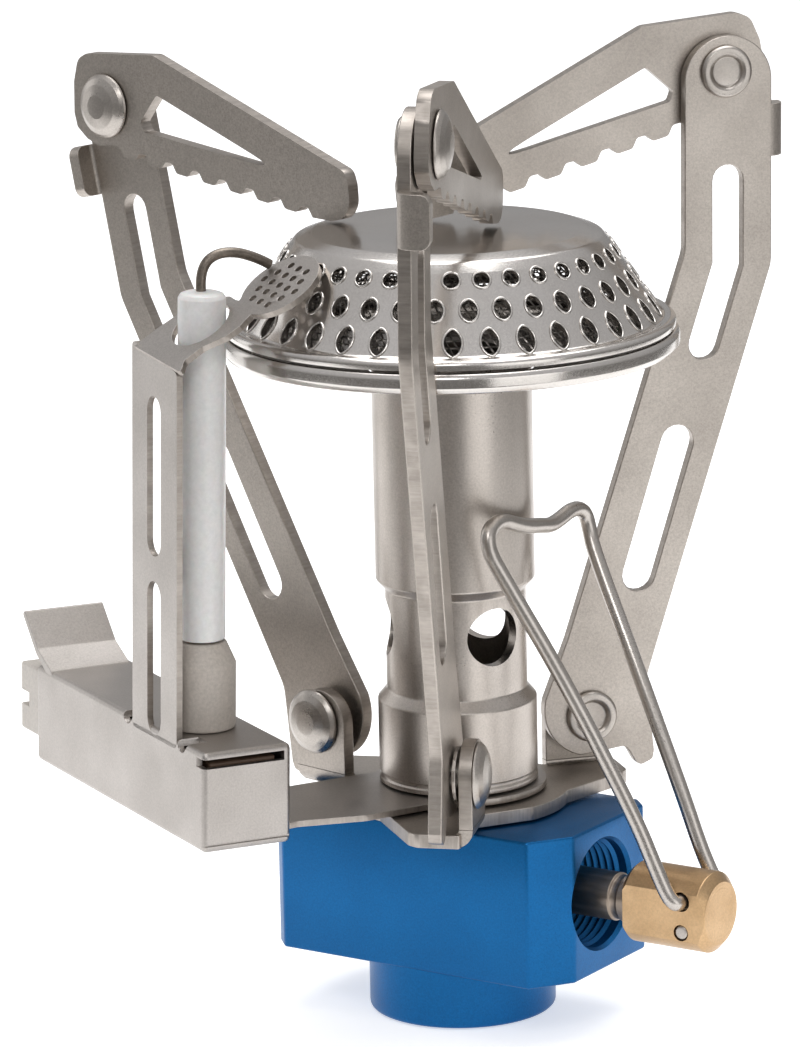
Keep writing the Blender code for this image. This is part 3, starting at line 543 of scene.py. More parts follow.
def valve_block():
    """The blue block with its bores, and the turned collar under it."""
    side = 11.7
    end = 20.6
    outline = mm([(-18.8, -side), (17.0, -side), (end, -6.6), (end, 9.9),
                  (18.8, side), (-17.0, side), (-end, 6.6), (-end, -9.9)])
    mesh = plate("block", outline, [], BLOCK_TOP - BLOCK_BOTTOM)
    moved(mesh, Matrix.Translation((0, 0, (BLOCK_TOP + BLOCK_BOTTOM) / 2)))
    wall = mm([(0, 22), (7.1, 22), (7.1, 20.61), (6.75, 20.1)])
    wall += list(reversed(thread(6.75 * MM, 0.42 * MM, 8.0 * MM, 19.9 * MM, 1.0 * MM)))
    wall += mm([(6.3, 7.5), (0, 7.5)])
    mouth = moved(lathe("mouth", wall, 64), SPINDLE_AXIS)
    deep = moved(drill(4.8 * MM, -2.5 * MM, 8 * MM, 40), SPINDLE_AXIS)
    tube = lathe("tube_bore", mm([(0, 27), (6.4, 27), (6.4, 23), (3.4, 23), (3.4, 20),
                                  (0, 20)]), 48)
    base = drill(5.6 * MM, 7 * MM, 9.5 * MM, 48)
    block = shaped(mesh, [mouth, deep, tube, base], bevel=0.35 * MM)
    piece("valve_block", block, BLUE, "stove", "blue_anodised", ["valve_body"],
          bevel=0.0, angle=28)
    rim = rounded(mm([(11.6, 3.0), (11.6, 0.0), (8.0, 0.0)]), 0.7 * MM, closed=False)
    bore = thread(5.75 * MM, 0.3 * MM, 0.7 * MM, 7.0 * MM, 0.9 * MM)
    collar = [(11.6 * MM, 7.4 * MM)] + rim + [(6.4 * MM, 0)] + bore + [(5.7 * MM, 7.4 * MM)]
    piece("connector_collar", lathe("collar", collar, 96, closed=True), BLUE, "stove",
          "blue_anodised", ["valve_body"], bevel=0.0, angle=30)


def valve_stem():
    """The turned spindle with its grooves and needle point."""
    stem = mm([(0, 36.0), (3.0, 36.0), (3.0, 24.2), (2.75, 24.0), (2.75, 23.2), (3.0, 23.0),
               (3.0, 15.6), (2.7, 15.4), (2.7, 14.6), (3.0, 14.4), (3.0, 8.0), (2.6, 7.6),
               (2.6, 2.0), (0.6, -1.5), (0, -1.5)])
    piece("stem", lathe("stem", stem, 48), STEM, "spindle", "dark_steel",
          ["valve_spindle"], SPINDLE_AXIS, bevel=0.08 * MM)


def control_knob():
    """The brass knob with two flats, the bail's cross hole and the pin's hole."""
    body = [(0, 37.3)] + rounded([(3.0, 37.3), (3.9, 37.3), (5.0, 36.3), (5.0, 34)], 0.25,
                                 closed=False) + [(5.0, 26.3), (4.6, 25.8), (0, 25.8)]
    knob = moved(lathe("knob", mm(body), 96), SPINDLE_AXIS)
    cuts = [box_mesh("flat", (20 * MM, 4 * MM, 8 * MM), (45 * MM, 9 * MM, 26 * MM)),
            box_mesh("flat", (20 * MM, -9 * MM, 8 * MM), (45 * MM, -4 * MM, 26 * MM))]
    for dz, radius in ((CROSS_HOLE_DZ, 1.2 * MM), (-CROSS_HOLE_DZ, 1.0 * MM)):
        hole = drill(radius, -6 * MM, 6 * MM, 28)
        cuts.append(moved(hole, along_axis((0, 1, 0), (CROSS_HOLE_X, 0, VALVE_Z + dz))))
    piece("knob", shaped(knob, cuts), BRASS, "spindle", "brass", ["control_knob"],
          bevel=0.14 * MM, angle=30)


def cross_pin():
    pin = rounded(mm([(0, 3.95), (0.9, 3.95), (0.9, 3.0)]), 0.35 * MM, closed=False)
    pin += [(r, -z) for r, z in reversed(pin)]
    piece("cross_pin", lathe("pin", pin, 28), RIVET, "spindle", "satin_stainless",
          ["knob_pin"], along_axis((0, 1, 0), (CROSS_HOLE_X, 0, VALVE_Z - CROSS_HOLE_DZ)),
          bevel=0)


def valve_train():
    dress("valve_gland", BRASS, 0.25 * MM)
    dress("spindle_oring", RUBBER)
    valve_stem()
    control_knob()
    cross_pin()


def bail_points(side, lift):
    """Half of the wire bail in millimetres, from the knob to the middle of the top bar.

    side is 1 or -1, and lift raises the top bar there by the share at the end of each row.
    """
    pivot_z = (VALVE_Z + CROSS_HOLE_DZ) / MM
    low = [(34.0, 3.0, pivot_z), (34.0, 4.6, pivot_z), (33.8, 5.1, pivot_z + 0.1),
           (32.9, 5.3, pivot_z + 1.1), (31.2, 5.35, pivot_z + 4.6), (28.9, 5.7, 29.0),
           (20.8, 7.7, 45.0)]
    top = [(13.4, 10.8, 59.0, 1.0), (12.4, 11.5, 61.4, 1.0), (12.0, 11.3, 63.5, 1.0),
           (11.9, 9.8, 64.5, 1.0), (11.9, 7.7, 64.6, 1.0), (12.0, 5.4, 63.7, 0.8),
           (12.2, 2.6, 62.8, 0.5)]
    half = [(x, side * y, z) for x, y, z in low]
    return half + [(x, side * y, z + lift * share) for x, y, z, share in top]


def wire_handle():
    middle = (12.3, 0.0, 62.4)
    points = bail_points(1, BAIL_DIP) + [middle] + bail_points(-1, 0.0)[::-1]
    wire("wire_handle", mm(points), WIRE_RADIUS, WIRE, "handle", "satin_stainless",
         ["valve_handle"])


# ---- base plate and tube ----
def flat_plate():
    """The plate between the ears, scalloped from one leg to the next."""
    points = []
    side = EAR_FROM_LEG + 0.1 * MM
    for index, azimuth in enumerate(LEG_AZIMUTHS):
        plane = leg_plane(index)
        for x, z in ((21.0 * MM, -4.4 * MM), (21.9 * MM, -3.2 * MM), (21.9 * MM, side),
                     (21.3 * MM, side + 0.2 * MM), (12.9 * MM, side + 0.2 * MM)):
            p = plane @ Vector((x, 0, -z))
            points.append((p.x, p.y))
        points += arc(0, 0, 13.6 * MM, azimuth + 52, azimuth + 88, 8)
    outline = rounded(points, 1.4 * MM)
    mesh = plate("plate", outline, [circle(0, 0, TUBE_HOLE_R, 36)], SHEET)
    piece("plate", mesh, STEEL, "stove", "satin_stainless", ["base_plate"],
          Matrix.Translation((0, 0, PLATE_Z)), edge_mat=CUT_EDGE)


def ear(index):
    """The upturned ear of one leg, and the bend that joins it to the plate."""
    middle = (EAR_START + EAR_STOP) / 2
    width = EAR_STOP - EAR_START
    bend_z = PLATE_Z - SHEET / 2 + EAR_BEND_R
    top = arc(middle, LEG_PIVOT_Z, width / 2, 0, 180, 20)
    hole = circle(LEG_PIVOT_R, LEG_PIVOT_Z, PIVOT_HOLE_R, 24)
    mesh = plate("ear", [(EAR_START, bend_z), (EAR_STOP, bend_z)] + top, [hole], SHEET)
    shift = Matrix.Translation((0, 0, -(EAR_FROM_LEG + SHEET / 2)))
    piece(f"ear_{index + 1}", mesh, STEEL, "stove", "satin_stainless", ["base_plate"],
          leg_plane(index) @ shift, edge_mat=CUT_EDGE)
    bend_x = EAR_FROM_LEG + SHEET - EAR_BEND_R
    bend = arc(bend_x, bend_z, EAR_BEND_R, 0, -90, 8)
    bend += arc(bend_x, bend_z, EAR_BEND_R - SHEET, -90, 0, 8)
    mesh = plate("bend", bend, [], width)
    # outline x runs sideways and y up; the sheet's thickness runs outwards
    turn = Matrix(((0, 0, 1, middle), (0, 1, 0, 0), (-1, 0, 0, 0), (0, 0, 0, 1)))
    piece(f"ear_bend_{index + 1}", mesh, STEEL, "stove", "satin_stainless",
          ["base_plate"], leg_plane(index) @ turn, bevel=0.0, angle=50)


def base_plate():
    flat_plate()
    for index in range(3):
        ear(index)


def mixing_tube():
    """The turned tube with its waist, foot groove and three air holes."""
    outer = rounded(mm([(9.8, 60), (9.8, 54.7), (8.68, 53.5), (8.68, 40.9), (9.8, 39.6),
                        (9.8, 34.0)]), 0.5 * MM, closed=False)
    profile = mm([(7.3, 82.6), (9.8, 82.6)]) + outer
    profile += mm([(9.8, 30.6), (9.55, 30.4), (9.55, 30.0), (9.8, 29.8), (9.8, 29.3),
                   (6.0, 29.3), (6.0, 23.3), (3.5, 23.3), (3.5, 29.5), (7.3, 33.5)])
    holes = []
    for azimuth in AIR_HOLE_AZIMUTHS:
        a = math.radians(azimuth)
        hole = drill(3.6 * MM, 4 * MM, 12 * MM, 48)
        holes.append(moved(hole, along_axis((math.cos(a), math.sin(a), 0),
                                            (0, 0, AIR_HOLE_Z))))
    mesh = shaped(lathe("tube", profile, 120, closed=True), holes)
    piece("tube", mesh, TURNED, "stove", "satin_stainless", ["mixing_tube"],
          bevel=0.12 * MM, angle=38)


# ---- burner ----
def hole_ring(half_w, half_h, pointed, grow, steps=20):
    """A flame hole's outline: round at the top row, lens-shaped at the foot."""
    points = []
    for k in range(steps):
        a = 2 * math.pi * k / steps
        y = math.sin(a)
        x = math.copysign(abs(math.cos(a)) ** (1 + pointed), math.cos(a))
        points.append(Vector((x * half_w + math.cos(a) * grow, y * half_h + y * grow, 0)))
    return points


def prism(bm, ring, matrix, low, high):
    """Adds a closed prism over a ring of points."""
    lower = [bm.verts.new(matrix @ Vector((p.x, p.y, low))) for p in ring]
    upper = [bm.verts.new(matrix @ Vector((p.x, p.y, high))) for p in ring]
    count = len(ring)
    bm.faces.new(upper)
    bm.faces.new(list(reversed(lower)))
    for i in range(count):
        j = (i + 1) % count
        bm.faces.new((lower[i], lower[j], upper[j], upper[i]))


def lip(bm, half_w, half_h, pointed, matrix, radius, segments=6):
    """A half-sunk bead round one flame hole."""
    loops = []
    for s in range(segments):
        a = 2 * math.pi * s / segments
        ring = hole_ring(half_w, half_h, pointed, radius * math.cos(a) + radius * 0.5)
        height = radius * 0.9 * math.sin(a)
        loops.append([bm.verts.new(matrix @ (p + Vector((0, 0, height)))) for p in ring])
    count = len(loops[0])
    for s in range(segments):
        here, there = loops[s], loops[(s + 1) % segments]
        for i in range(count):
            j = (i + 1) % count
            bm.faces.new((here[i], here[j], there[j], there[i]))


def head_shell():
    """The unpierced head: flat top, shoulder, cone and rolled foot."""
    shoulder = mm([(0, 98.1), (12, 98.1), (16.7, 97.95), (18.7, 97.3)])
    foot = mm([(26.9, 87.25), (27.5, 86.75), (27.4, 86.0)])
    inside = mm([(26.9, 86.0), (26.75, 86.5), (25.4, 86.6), (19.2, 95.85),
                 (18.2, 96.85), (16.6, 97.45), (12, 97.6), (0, 97.6)])
    outside = rounded(shoulder + [CONE_TOP, CONE_FOOT] + foot, 1.1 * MM, closed=False,
                      steps=4)
    return lathe("head", outside + inside, 210)


def burner_head():
    """The head pierced by three rows of flame holes, each hole with a raised lip."""
    slope = math.atan2(CONE_TOP[1] - CONE_FOOT[1], CONE_FOOT[0] - CONE_TOP[0])
    cut = bmesh.new()
    lips = bmesh.new()
    # share of the way down the cone, stagger, half width and height in mm, pointedness
    rows = ((0.085, 0.0, 0.98, 1.0, 0.0), (0.44, 0.5, 1.05, 1.4, 0.15),
            (0.815, 0.0, 1.08, 1.75, 0.35))
    for along, stagger, half_w, half_h, pointed in rows:
        radius = CONE_TOP[0] + (CONE_FOOT[0] - CONE_TOP[0]) * along
        height = CONE_TOP[1] + (CONE_FOOT[1] - CONE_TOP[1]) * along
        for k in range(HOLE_COUNT):
            a = math.radians(HOLE_PHASE + (k + stagger) * 360 / HOLE_COUNT)
            normal = Vector((math.cos(a) * math.sin(slope), math.sin(a) * math.sin(slope),
                             math.cos(slope)))
            across = Vector((-math.sin(a), math.cos(a), 0))
            turn = Matrix((across, normal.cross(across), normal)).transposed().to_4x4()
            at = Vector((radius * math.cos(a), radius * math.sin(a), height))
            matrix = Matrix.Translation(at) @ turn
            prism(cut, hole_ring(half_w * MM, half_h * MM, pointed, 0), matrix,
                  -1.5 * MM, 1.5 * MM)
            lip(lips, half_w * MM, half_h * MM, pointed, matrix, LIP_RADIUS)
    cutter = bpy.data.meshes.new("flame_holes")
    cut.to_mesh(cutter)
    cut.free()
    bmesh.ops.recalc_face_normals(lips, faces=lips.faces)
    beads = bpy.data.meshes.new("beads")
    lips.to_mesh(beads)
    lips.free()
    piece("head", shaped(head_shell(), [cutter]), POLISHED, "stove", "polished_stainless",
          ["burner_head"], bevel=0, angle=38)
    piece("flame_hole_lips", beads, POLISHED, "stove", "polished_stainless",
          ["burner_head"], bevel=0, angle=80)


def burner_cup():
    """The shallow cup under the head, with its rolled rim."""
    cup = rounded(mm([(26.7, 85.7), (27.5, 85.7), (27.9, 85.1), (27.9, 83.9), (27.4, 83.2),
                      (26.4, 83.0), (10.1, 80.3), (10.1, 81.1), (26.2, 83.8),
                      (26.7, 84.4)]), 0.6 * MM, steps=4)
    piece("cup", lathe("cup", cup, 180, closed=True), POLISHED, "stove",
          "polished_stainless", ["burner_cup"], bevel=0, angle=50)


def gauze():
    """Woven wire behind the flame holes, as a lattice of thin wires."""
    bm = bmesh.new()
    around = 150
    up = 12
    rows = []
    for i in range(up + 1):
        t = i / up
        r = 17.7 * MM + 6.3 * MM * t
        z = 95.4 * MM - 9.1 * MM * t
        row = []
        for k in range(around):
            a = 2 * math.pi * (k + 0.5 * i) / around
            row.append(bm.verts.new((r * math.cos(a), r * math.sin(a), z)))
        rows.append(row)
    for i in range(up):
        for k in range(around):
            j = (k + 1) % around
            bm.faces.new((rows[i][k], rows[i][j], rows[i + 1][j], rows[i + 1][k]))
    mesh = bpy.data.meshes.new("gauze")
    bm.to_mesh(mesh)
    bm.free()
    temp = placed("gauze_temp", mesh)
    net = temp.modifiers.new("net", "WIREFRAME")
    net.thickness = GAUZE_WIRE
    piece("gauze", baked(temp), GAUZE, "stove", "dark_steel", ["flame_gauze"], bevel=0,
          angle=80)


# ---- legs, supports and rivets ----
def leg_outline():
    """A leg in its own frame, foot pivot at the origin."""
    foot = rounded([(-1.5, -5.0), (4.4, -4.3), (5.0, -5.0), (5.8, -6.5), (6.6, -6.95),
                    (8.1, -6.3), (8.3, -5.2), (7.3, 4.3)], 0.7, closed=False)[1:-1]
    outer = rounded([(8.3, -5.2), (7.3, 4.3), (8.8, 9.1), (23.7, 56.0), (23.7, 78.9)], 5.0,
                    closed=False)[1:-1]
    crown = arc(18.05, 78.9, 5.65, 4, 176, 24)
    inner = rounded([(12.4, 78.9), (12.4, 58.0), (-3.0, 10.1), (-5.7, 3.4)], 5.0,
                    closed=False)[1:-1]
    heel = arc(0.2, 1.1, 6.3, 168, 256, 14)
    return mm(foot + outer + crown + inner + heel)


def support_outline():
    """A pot support with its serrated edge, pivot at the origin."""
    pitch = 4.74
    drop = 0.75
    teeth = []
    for k in range(TOOTH_COUNT):
        x, y = -1.6 - k * pitch, -4.95 - k * drop
        teeth += [(x + 0.6, y), (x - 0.6, y - 0.1), (x - 1.35, y - 1.35), (x - 3.4, y - 1.65)]
    end = [(5.75, -1.2), (5.3, -3.0), (3.6, -4.4), (1.6, -5.2)]
    tip = [(-39.5, -11.75), (-41.5, -11.3), (-42.6, -9.6), (-42.5, -7.2), (-42.0, -5.5)]
    top = [(-9.2, 6.9), (2.9, 6.5), (4.6, 5.7), (5.5, 2.8)]
    coarse = rounded(end + teeth[:-1], 0.7, closed=False, steps=4)
    smooth = rounded([teeth[-2]] + tip + top + [end[0]], 2.4, closed=False, steps=6)[1:-1]
    return mm(reversed(coarse + smooth))


def rivet(name, body, node, plane, at, head_from, tail_to):
    """A domed rivet with a flared, cupped tail."""
    x, y = at
    head = head_from / MM
    tail = tail_to / MM
    dome = [(0, 1.6), (1.5, 1.5), (2.8, 1.15), (3.6, 0.72), (4.0, 0.32), (4.1, 0.1),
            (4.0, 0)]
    cupped = [(2.0, 0), (3.2, 0), (3.25, 0.35), (2.95, 0.7), (2.3, 0.72), (2.0, 0.45),
              (1.8, 0.12), (0, 0.05)]
    profile = [(r, head + h) for r, h in dome] + [(2.0, head)]
    profile += [(r, tail - h) for r, h in cupped]
    mesh = lathe(name, rounded(mm(profile), 0.3 * MM, closed=False, steps=3), 56)
    matrix = plane @ Matrix.Translation((x, y, 0)) @ Matrix.Rotation(math.pi, 4, "X")
    piece(name, mesh, RIVET, body, "satin_stainless", [node], matrix, bevel=0, angle=45)


def stop_tab(index):
    """The lip bent out of a leg's outer edge, with its bend radius."""
    side = SHEET / 2
    inner = 0.5 * MM
    root_x = 23.3 * MM
    face_x = 25.6 * MM
    tip_y = -3.4 * MM
    width = 6.5 * MM
    up_the_leg = 72.55 * MM
    bend_x = face_x - SHEET - inner
    bend_y = side - SHEET - inner
    path = [(root_x, side), (bend_x, side)]
    path += arc(bend_x, bend_y, SHEET + inner, 90, 0, 8)[1:]
    path += [(face_x, tip_y), (face_x - SHEET, tip_y)]
    path += arc(bend_x, bend_y, inner, 0, 90, 6)
    path += [(root_x, -side)]
    mesh = plate("tab", path, [], width)
    # outline x runs outwards, y to the tail side and thickness up the leg: a mirror image
    mesh.flip_normals()
    moved(mesh, Matrix(((1, 0, 0, 0), (0, 0, 1, up_the_leg), (0, 1, 0, 0), (0, 0, 0, 1))))
    bm = bmesh.new()
    bm.from_mesh(mesh)
    corners = [e for e in bm.edges if abs(e.verts[0].co.y - e.verts[1].co.y) < 1e-6
               and all(abs(v.co.z - tip_y) < 1e-5 for v in e.verts)]
    bmesh.ops.bevel(bm, geom=corners, offset=1.3 * MM, segments=5, profile=0.5,
                    affect="EDGES")
    bmesh.ops.recalc_face_normals(bm, faces=bm.faces)
    bm.to_mesh(mesh)
    bm.free()
    piece(f"stop_tab_{index + 1}", mesh, STEEL, f"leg_{index + 1}", "satin_stainless",
          [f"support_leg_{index + 1}"], leg_matrix(index), bevel=0.15 * MM, angle=40)


def legs():
    """Three legs with their stop tabs, pot supports, rivets and spacer washers."""
    pivot = circle(0, 0, PIVOT_HOLE_R, 24)
    upper = circle(*LEG_TOP_PIVOT, PIVOT_HOLE_R, 24)
    long_slot = slot_outline(mm([(18.0, 66.6), (18.0, 56.1), (14.9, 46.3)]), 1.97 * MM)
    low_slot = slot_outline(mm([(11.4, 34.2), (6.3, 17.6)]), 2.1 * MM)
    window = rounded(mm([(-9.5, 1.9), (-6.3, -1.7), (-6.9, -2.9), (-30.8, -6.2)]),
                     0.6 * MM)
    arm_offset = SHEET + ARM_GAP
    tail_z = -SHEET / 2 - RIVET_GAP
    for index in range(3):
        number = index + 1
        leg = plate("leg", leg_outline(), [pivot, upper, long_slot, low_slot], SHEET)
        piece(f"leg_{number}", leg, STEEL, f"leg_{number}", "satin_stainless",
              [f"support_leg_{number}"], leg_matrix(index), bevel=0.16 * MM,
              edge_mat=CUT_EDGE)
        stop_tab(index)
        arm = plate("arm", support_outline(), [pivot, window], SHEET)
        turn = math.radians(SUPPORT_DROOP[index] + LEG_SWING[index])
        place = leg_matrix(index) @ Matrix.Translation((*LEG_TOP_PIVOT, -arm_offset))
        piece(f"support_{number}", arm, STEEL, f"support_{number}", "satin_stainless",
              [f"pot_support_{number}"], place @ Matrix.Rotation(turn, 4, "Z"),
              bevel=0.14 * MM, edge_mat=CUT_EDGE)
        rivet(f"top_rivet_{number}", f"leg_{number}", f"support_rivet_{number}",
              leg_matrix(index), LEG_TOP_PIVOT, arm_offset + SHEET / 2 + RIVET_GAP, tail_z)
        rivet(f"foot_rivet_{number}", "stove", f"leg_rivet_{number}", leg_plane(index),
              (LEG_PIVOT_R, LEG_PIVOT_Z), EAR_FROM_LEG + SHEET + RIVET_GAP, tail_z)
        dress(f"leg_washer_{number}", RIVET, 0.08 * MM)


# ---- igniter ----
def guide_matrix():
    """The spark guide's frame: X along the neck, Z out of the sheet."""
    along = Vector(GUIDE_ALONG).normalized()
    normal = Vector(GUIDE_NORMAL).normalized()
    turn = Matrix((along, normal.cross(along), normal)).transposed().to_4x4()
    return Matrix.Translation(GUIDE_ORIGIN) @ turn


def housing_piece(name, mesh, matrix, **finish):
    """One piece of the folded igniter housing."""
    piece(name, mesh, SHEET_STEEL, "stove", "satin_stainless", ["igniter_housing"], matrix,
          **finish)


def standing(y):
    """Stands a flat outline up in the igniter's frame: its x along the box, its y up."""
    return IGNITER @ Matrix.Translation((0, y, 0)) @ Matrix.Rotation(math.pi / 2, 4, "X")


def igniter_box():
    """The open-ended box with its slit, seam and the round reliefs beside the upright."""
    lx, ly, lz = BOX_HALF
    wall = THIN_SHEET
    box = box_mesh("box", (-lx, -ly, -lz), (lx, ly, lz))
    cuts = [box_mesh("hollow", (-lx + wall, -ly + wall, -lz + wall),
                     (lx + MM, ly - wall, lz - wall)),
            box_mesh("slit", (-lx - MM, -4.9 * MM, 4.25 * MM),
                     (-lx + 2 * MM, 6.5 * MM, 5.4 * MM)),
            box_mesh("seam", (-lx - MM, -6.5 * MM, -5.4 * MM),
                     (-lx + 0.25 * MM, 6.5 * MM, -5.15 * MM))]
    for x in (-2.7 * MM, -17.7 * MM):
        relief = drill(1.25 * MM, 3 * MM, 8 * MM, 28)
        cuts.append(moved(relief, along_axis((0, 1, 0), (x, 0, lz))))
    housing_piece("igniter_box", shaped(box, cuts, bevel=0.7 * MM), IGNITER,
                  bevel=0.08 * MM, angle=40)


def upright():
    """The slotted strip that rises from the box beside the insulator."""
    outline = rounded(mm([(-4.2, 5.0), (-4.2, 53.1), (-16.4, 51.2), (-16.4, 5.0)]),
                      0.8 * MM)
    slots = [slot_outline(mm([(-10.2, low), (-10.2, high)]), 1.85 * MM)
             for low, high in ((7.2, 22.6), (29.4, 45.4))]
    housing_piece("upright", plate("upright", outline, slots, THIN_SHEET),
                  standing(BOX_HALF[1] - THIN_SHEET / 2), edge_mat=CUT_EDGE)


def spark_guide():
    """The bent top of the upright: a neck and a round paddle with small holes."""
    front = [(-8.9, 2.4), (-3.2, -8.7), (-2.6, -6.4), (-0.2, -5.3), (3.2, -5.5),
             (5.0, -4.8), (6.0, -3.9)]
    back = [(5.3, 1.0), (4.9, 1.5), (4.2, 3.0), (1.8, 4.7), (-2.0, 5.0), (-5.6, 3.9)]
    outline = rounded(mm(front), 0.8 * MM, closed=False)
    outline += arc(PADDLE_AT, 0, PADDLE_RADIUS, -140, 165, 40)
    outline += rounded(mm(back), 1.0 * MM, closed=False)
    holes = [circle(0, 0, 3.9 * MM, 36)]
    for row in range(-2, 3):
        for col in range(-3, 4):
            x = (col + 0.5 * (row % 2)) * PADDLE_HOLE_PITCH
            y = row * PADDLE_ROW_PITCH
            if math.hypot(x, y) < PADDLE_HOLES_WITHIN:
                holes.append(circle(PADDLE_AT + x, y, 0.5 * MM, 12))
    housing_piece("paddle", plate("paddle", outline, holes, THIN_SHEET), guide_matrix(),
                  bevel=0.1 * MM, edge_mat=CUT_EDGE)


def thumb_tab():
    """The upturned end of the box's lid."""
    tab = rounded(mm([(19.0, 5.6), (20.8, 5.55), (24.0, 7.5), (28.0, 11.8), (27.4, 12.4),
                      (23.4, 8.2), (19.6, 6.35)]), 1.2 * MM)
    housing_piece("thumb_tab", plate("thumb_tab", tab, [], 10.9 * MM),
                  standing(0.4 * MM), bevel=0.2 * MM, angle=50)


def tongue():
    """The flat tongue from the box to the ring that sits under the tube."""
    lx, ly, _ = BOX_HALF
    inside = -ly + THIN_SHEET / 2
    near = IGNITER @ Vector((-lx + 1.2 * MM, inside, 0))
    far = IGNITER @ Vector((-8.0 * MM, inside, 0))
    outline = [(near.x, near.y)] + mm([(-6.6, -26.0), (-0.65, -19.7), (3.05, -12.35)])
    outline = rounded(outline + arc(0, 0, 10.85 * MM, -44, 196, 48) + [(far.x, far.y)],
                      2.0 * MM)
    mesh = plate("tongue", outline, [circle(0, 0, TUBE_HOLE_R, 36)], THIN_SHEET)
    housing_piece("tongue", mesh, Matrix.Translation((0, 0, TONGUE_Z)), edge_mat=CUT_EDGE)


def igniter_bracket():
    igniter_box()
    upright()
    spark_guide()
    thumb_tab()
    tongue()


def plunger_button():
    """The notched grey button, bored for the piezo unit."""
    mesh = box_mesh("plunger", (13.8 * MM, -4.3 * MM, -4.2 * MM),
                    (32.0 * MM, 4.3 * MM, 4.6 * MM))
    notch = box_mesh("notch", (29.6 * MM, -6 * MM, -0.9 * MM), (34 * MM, 6 * MM, 0.9 * MM))
    bore = moved(drill(3.5 * MM, 13 * MM, 27.2 * MM, 32), along_axis((1, 0, 0)))
    piece("plunger_button", shaped(mesh, [notch, bore], bevel=0.4 * MM), PLASTIC, "plunger",
          "light_grey_plastic", ["igniter_plunger"], IGNITER, bevel=0.1 * MM)


def insulator():
    """The moulded holder and the white ceramic rod that stands in it."""
    rod_axis = IGNITER @ Matrix.Translation((CERAMIC_X, CERAMIC_Y, 0))
    holder = rounded(mm([(0, 16.95), (3.0, 16.95), (4.2, 14.3), (4.2, 6.25), (1.8, 6.25),
                         (1.8, 4.9), (0, 4.9)]), 0.4 * MM, closed=False)
    piece("holder", lathe("holder", holder, 64), HOLDER, "stove", "grey_beige_plastic",
          ["insulator_holder"], rod_axis, bevel=0, angle=45)
    rod = rounded(mm([(0, 59.95), (2.0, 59.8), (2.6, 59.6), (2.9, 59.1), (2.9, 17.2),
                      (0, 17.2)]), 0.35 * MM, closed=False)
    piece("ceramic", lathe("ceramic", rod, 64), CERAMIC, "stove", "white_ceramic",
          ["ceramic_insulator"], rod_axis, bevel=0, angle=50)


def electrode():
    """The wire from the top of the rod, bent over towards the burner."""
    x, y, _ = GUIDE_ORIGIN
    inward = -Vector((x, y, 0)).normalized()
    foot = Vector((x, y, 0))
    reach = [(0.0, 93.2), (0.0, 94.6), (0.3, 96.0), (1.1, 97.1), (2.6, 97.7), (4.6, 97.6),
             (6.4, 97.0), (7.9, 96.3), (8.9, 95.7)]
    points = [tuple(foot + inward * r * MM + Vector((0, 0, z * MM))) for r, z in reach]
    wire("electrode", points, 0.62 * MM, DARK, "stove", "dark_steel", ["electrode_wire"],
         rounds=2)


def igniter_inside():
    dress("piezo_unit", PIEZO, 0.3 * MM)
    dress("plunger_spring", WIRE)
    plunger_button()
    insulator()
    electrode()


def hidden_parts():
    dress("connector_pin", BRASS, 0.1 * MM)
    dress("gas_jet", BRASS, 0.1 * MM)
    dress("canister_seal", RUBBER)


# ---- studio ----
def area_light(name, at, target, size, power):
    """A rectangular softbox that faces the target."""
    light = bpy.data.lights.new(name, "AREA")
    light.shape = "RECTANGLE"
    light.size = size[0]
    light.size_y = size[1]
    light.energy = power
    obj = placed(name, light)
    direction = Vector(target) - Vector(at)
    turn = direction.to_track_quat("-Z", "Y").to_matrix().to_4x4()
    obj.matrix_world = Matrix.Translation(at) @ turn


def paper_floor():
    """A pale paper strip that runs from just in front of the stove far behind it."""
    back = Vector((-0.55, 0.835, 0))
    side = Vector((0.835, 0.55, 0))
    front_edge = back * -0.14
    back_edge = back * 2.4
    mesh = bpy.data.meshes.new("floor")
    corners = [front_edge - side * 0.26, front_edge + side * 0.26,
               back_edge + side * 0.40, back_edge - side * 0.40]
    mesh.from_pydata([tuple(c) for c in corners], [], [(0, 1, 2, 3)])
    floor = placed("floor", mesh)
    floor.location.z = -0.0002
    paper = surface("floor_paper", (0.90, 0.90, 0.90), 0.7, metallic=0.0,
                    tint=(0.88, 0.88, 0.88), grain=400.0, bump=0.02)
    glow = paper.node_tree.nodes["Principled BSDF"]
    glow.inputs["Emission Color"].default_value = (1, 1, 1, 1)
    glow.inputs["Emission Strength"].default_value = 0.55
    mesh.materials.append(paper)


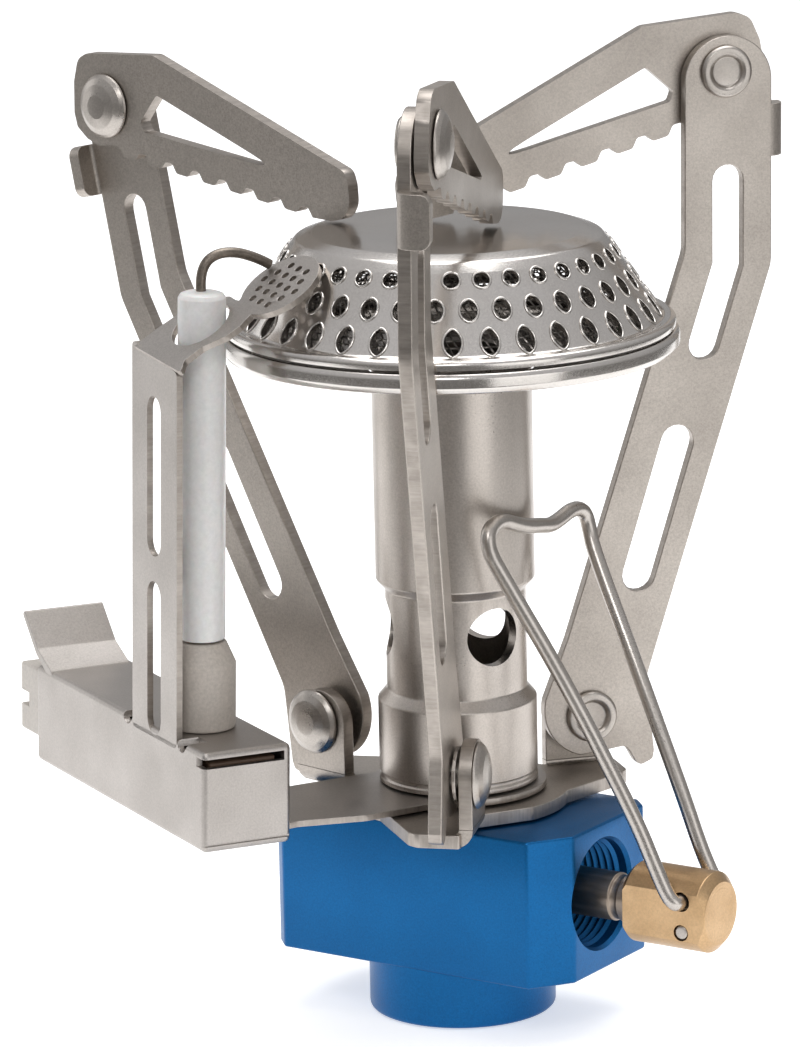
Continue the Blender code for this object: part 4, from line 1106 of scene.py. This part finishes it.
def room():
    """A dim room, grey at the horizon and lighter overhead."""
    world = bpy.data.worlds.new("studio")
    bpy.context.scene.world = world
    world.use_nodes = True
    nodes = world.node_tree.nodes
    links = world.node_tree.links
    place = nodes.new("ShaderNodeTexCoord")
    split = nodes.new("ShaderNodeSeparateXYZ")
    links.new(place.outputs["Generated"], split.inputs["Vector"])
    height = nodes.new("ShaderNodeMapRange")
    height.inputs["From Min"].default_value = -1.0
    links.new(split.outputs["Z"], height.inputs["Value"])
    ramp = nodes.new("ShaderNodeValToRGB")
    ramp.color_ramp.elements[0].position = 0.40
    ramp.color_ramp.elements[0].color = (0.20, 0.195, 0.19, 1)
    ramp.color_ramp.elements[1].position = 0.90
    ramp.color_ramp.elements[1].color = (0.62, 0.62, 0.63, 1)
    links.new(height.outputs["Result"], ramp.inputs["Fac"])
    background = nodes["Background"]
    background.inputs["Strength"].default_value = 1.0
    links.new(ramp.outputs["Color"], background.inputs["Color"])


def lights():
    target = (-0.005, 0, 0.06)
    area_light("right", (0.66, -0.24, 0.12), target, (0.45, 0.60), 1.0)
    area_light("left", (-0.70, -0.02, 0.14), target, (0.40, 0.55), 0.6)
    area_light("top", (-0.05, 0.15, 0.85), target, (0.70, 0.70), 4.2)
    area_light("key", (0.28, -0.58, 0.60), target, (0.26, 0.26), 1.1)


def camera():
    """Long lens at the viewing angle, with the slight roll that leans the object left."""
    at = Vector((380.3 * MM, -589.5 * MM, 226.6 * MM))
    target = Vector((-5.55 * MM, -3.65 * MM, 61.39 * MM))
    roll = math.radians(1.205)
    forward = (target - at).normalized()
    right = forward.cross(Vector((0, 0, 1))).normalized()
    up = right.cross(forward)
    x_axis = right * math.cos(roll) - up * math.sin(roll)
    y_axis = right * math.sin(roll) + up * math.cos(roll)
    data = bpy.data.cameras.new("camera")
    data.sensor_width = 36.0
    data.lens = 202.2
    data.clip_start = 0.01
    obj = placed("camera", data)
    turn = Matrix((x_axis, y_axis, -forward)).transposed().to_4x4()
    obj.matrix_world = Matrix.Translation(at) @ turn
    bpy.context.scene.camera = obj


camera()
paper_floor()
room()
lights()
valve_block()
valve_train()
wire_handle()
base_plate()
mixing_tube()
burner_head()
burner_cup()
gauze()
legs()
igniter_bracket()
igniter_inside()
hidden_parts()
bpy.context.scene.view_settings.view_transform = "Standard"
bpy.context.view_layer.update()
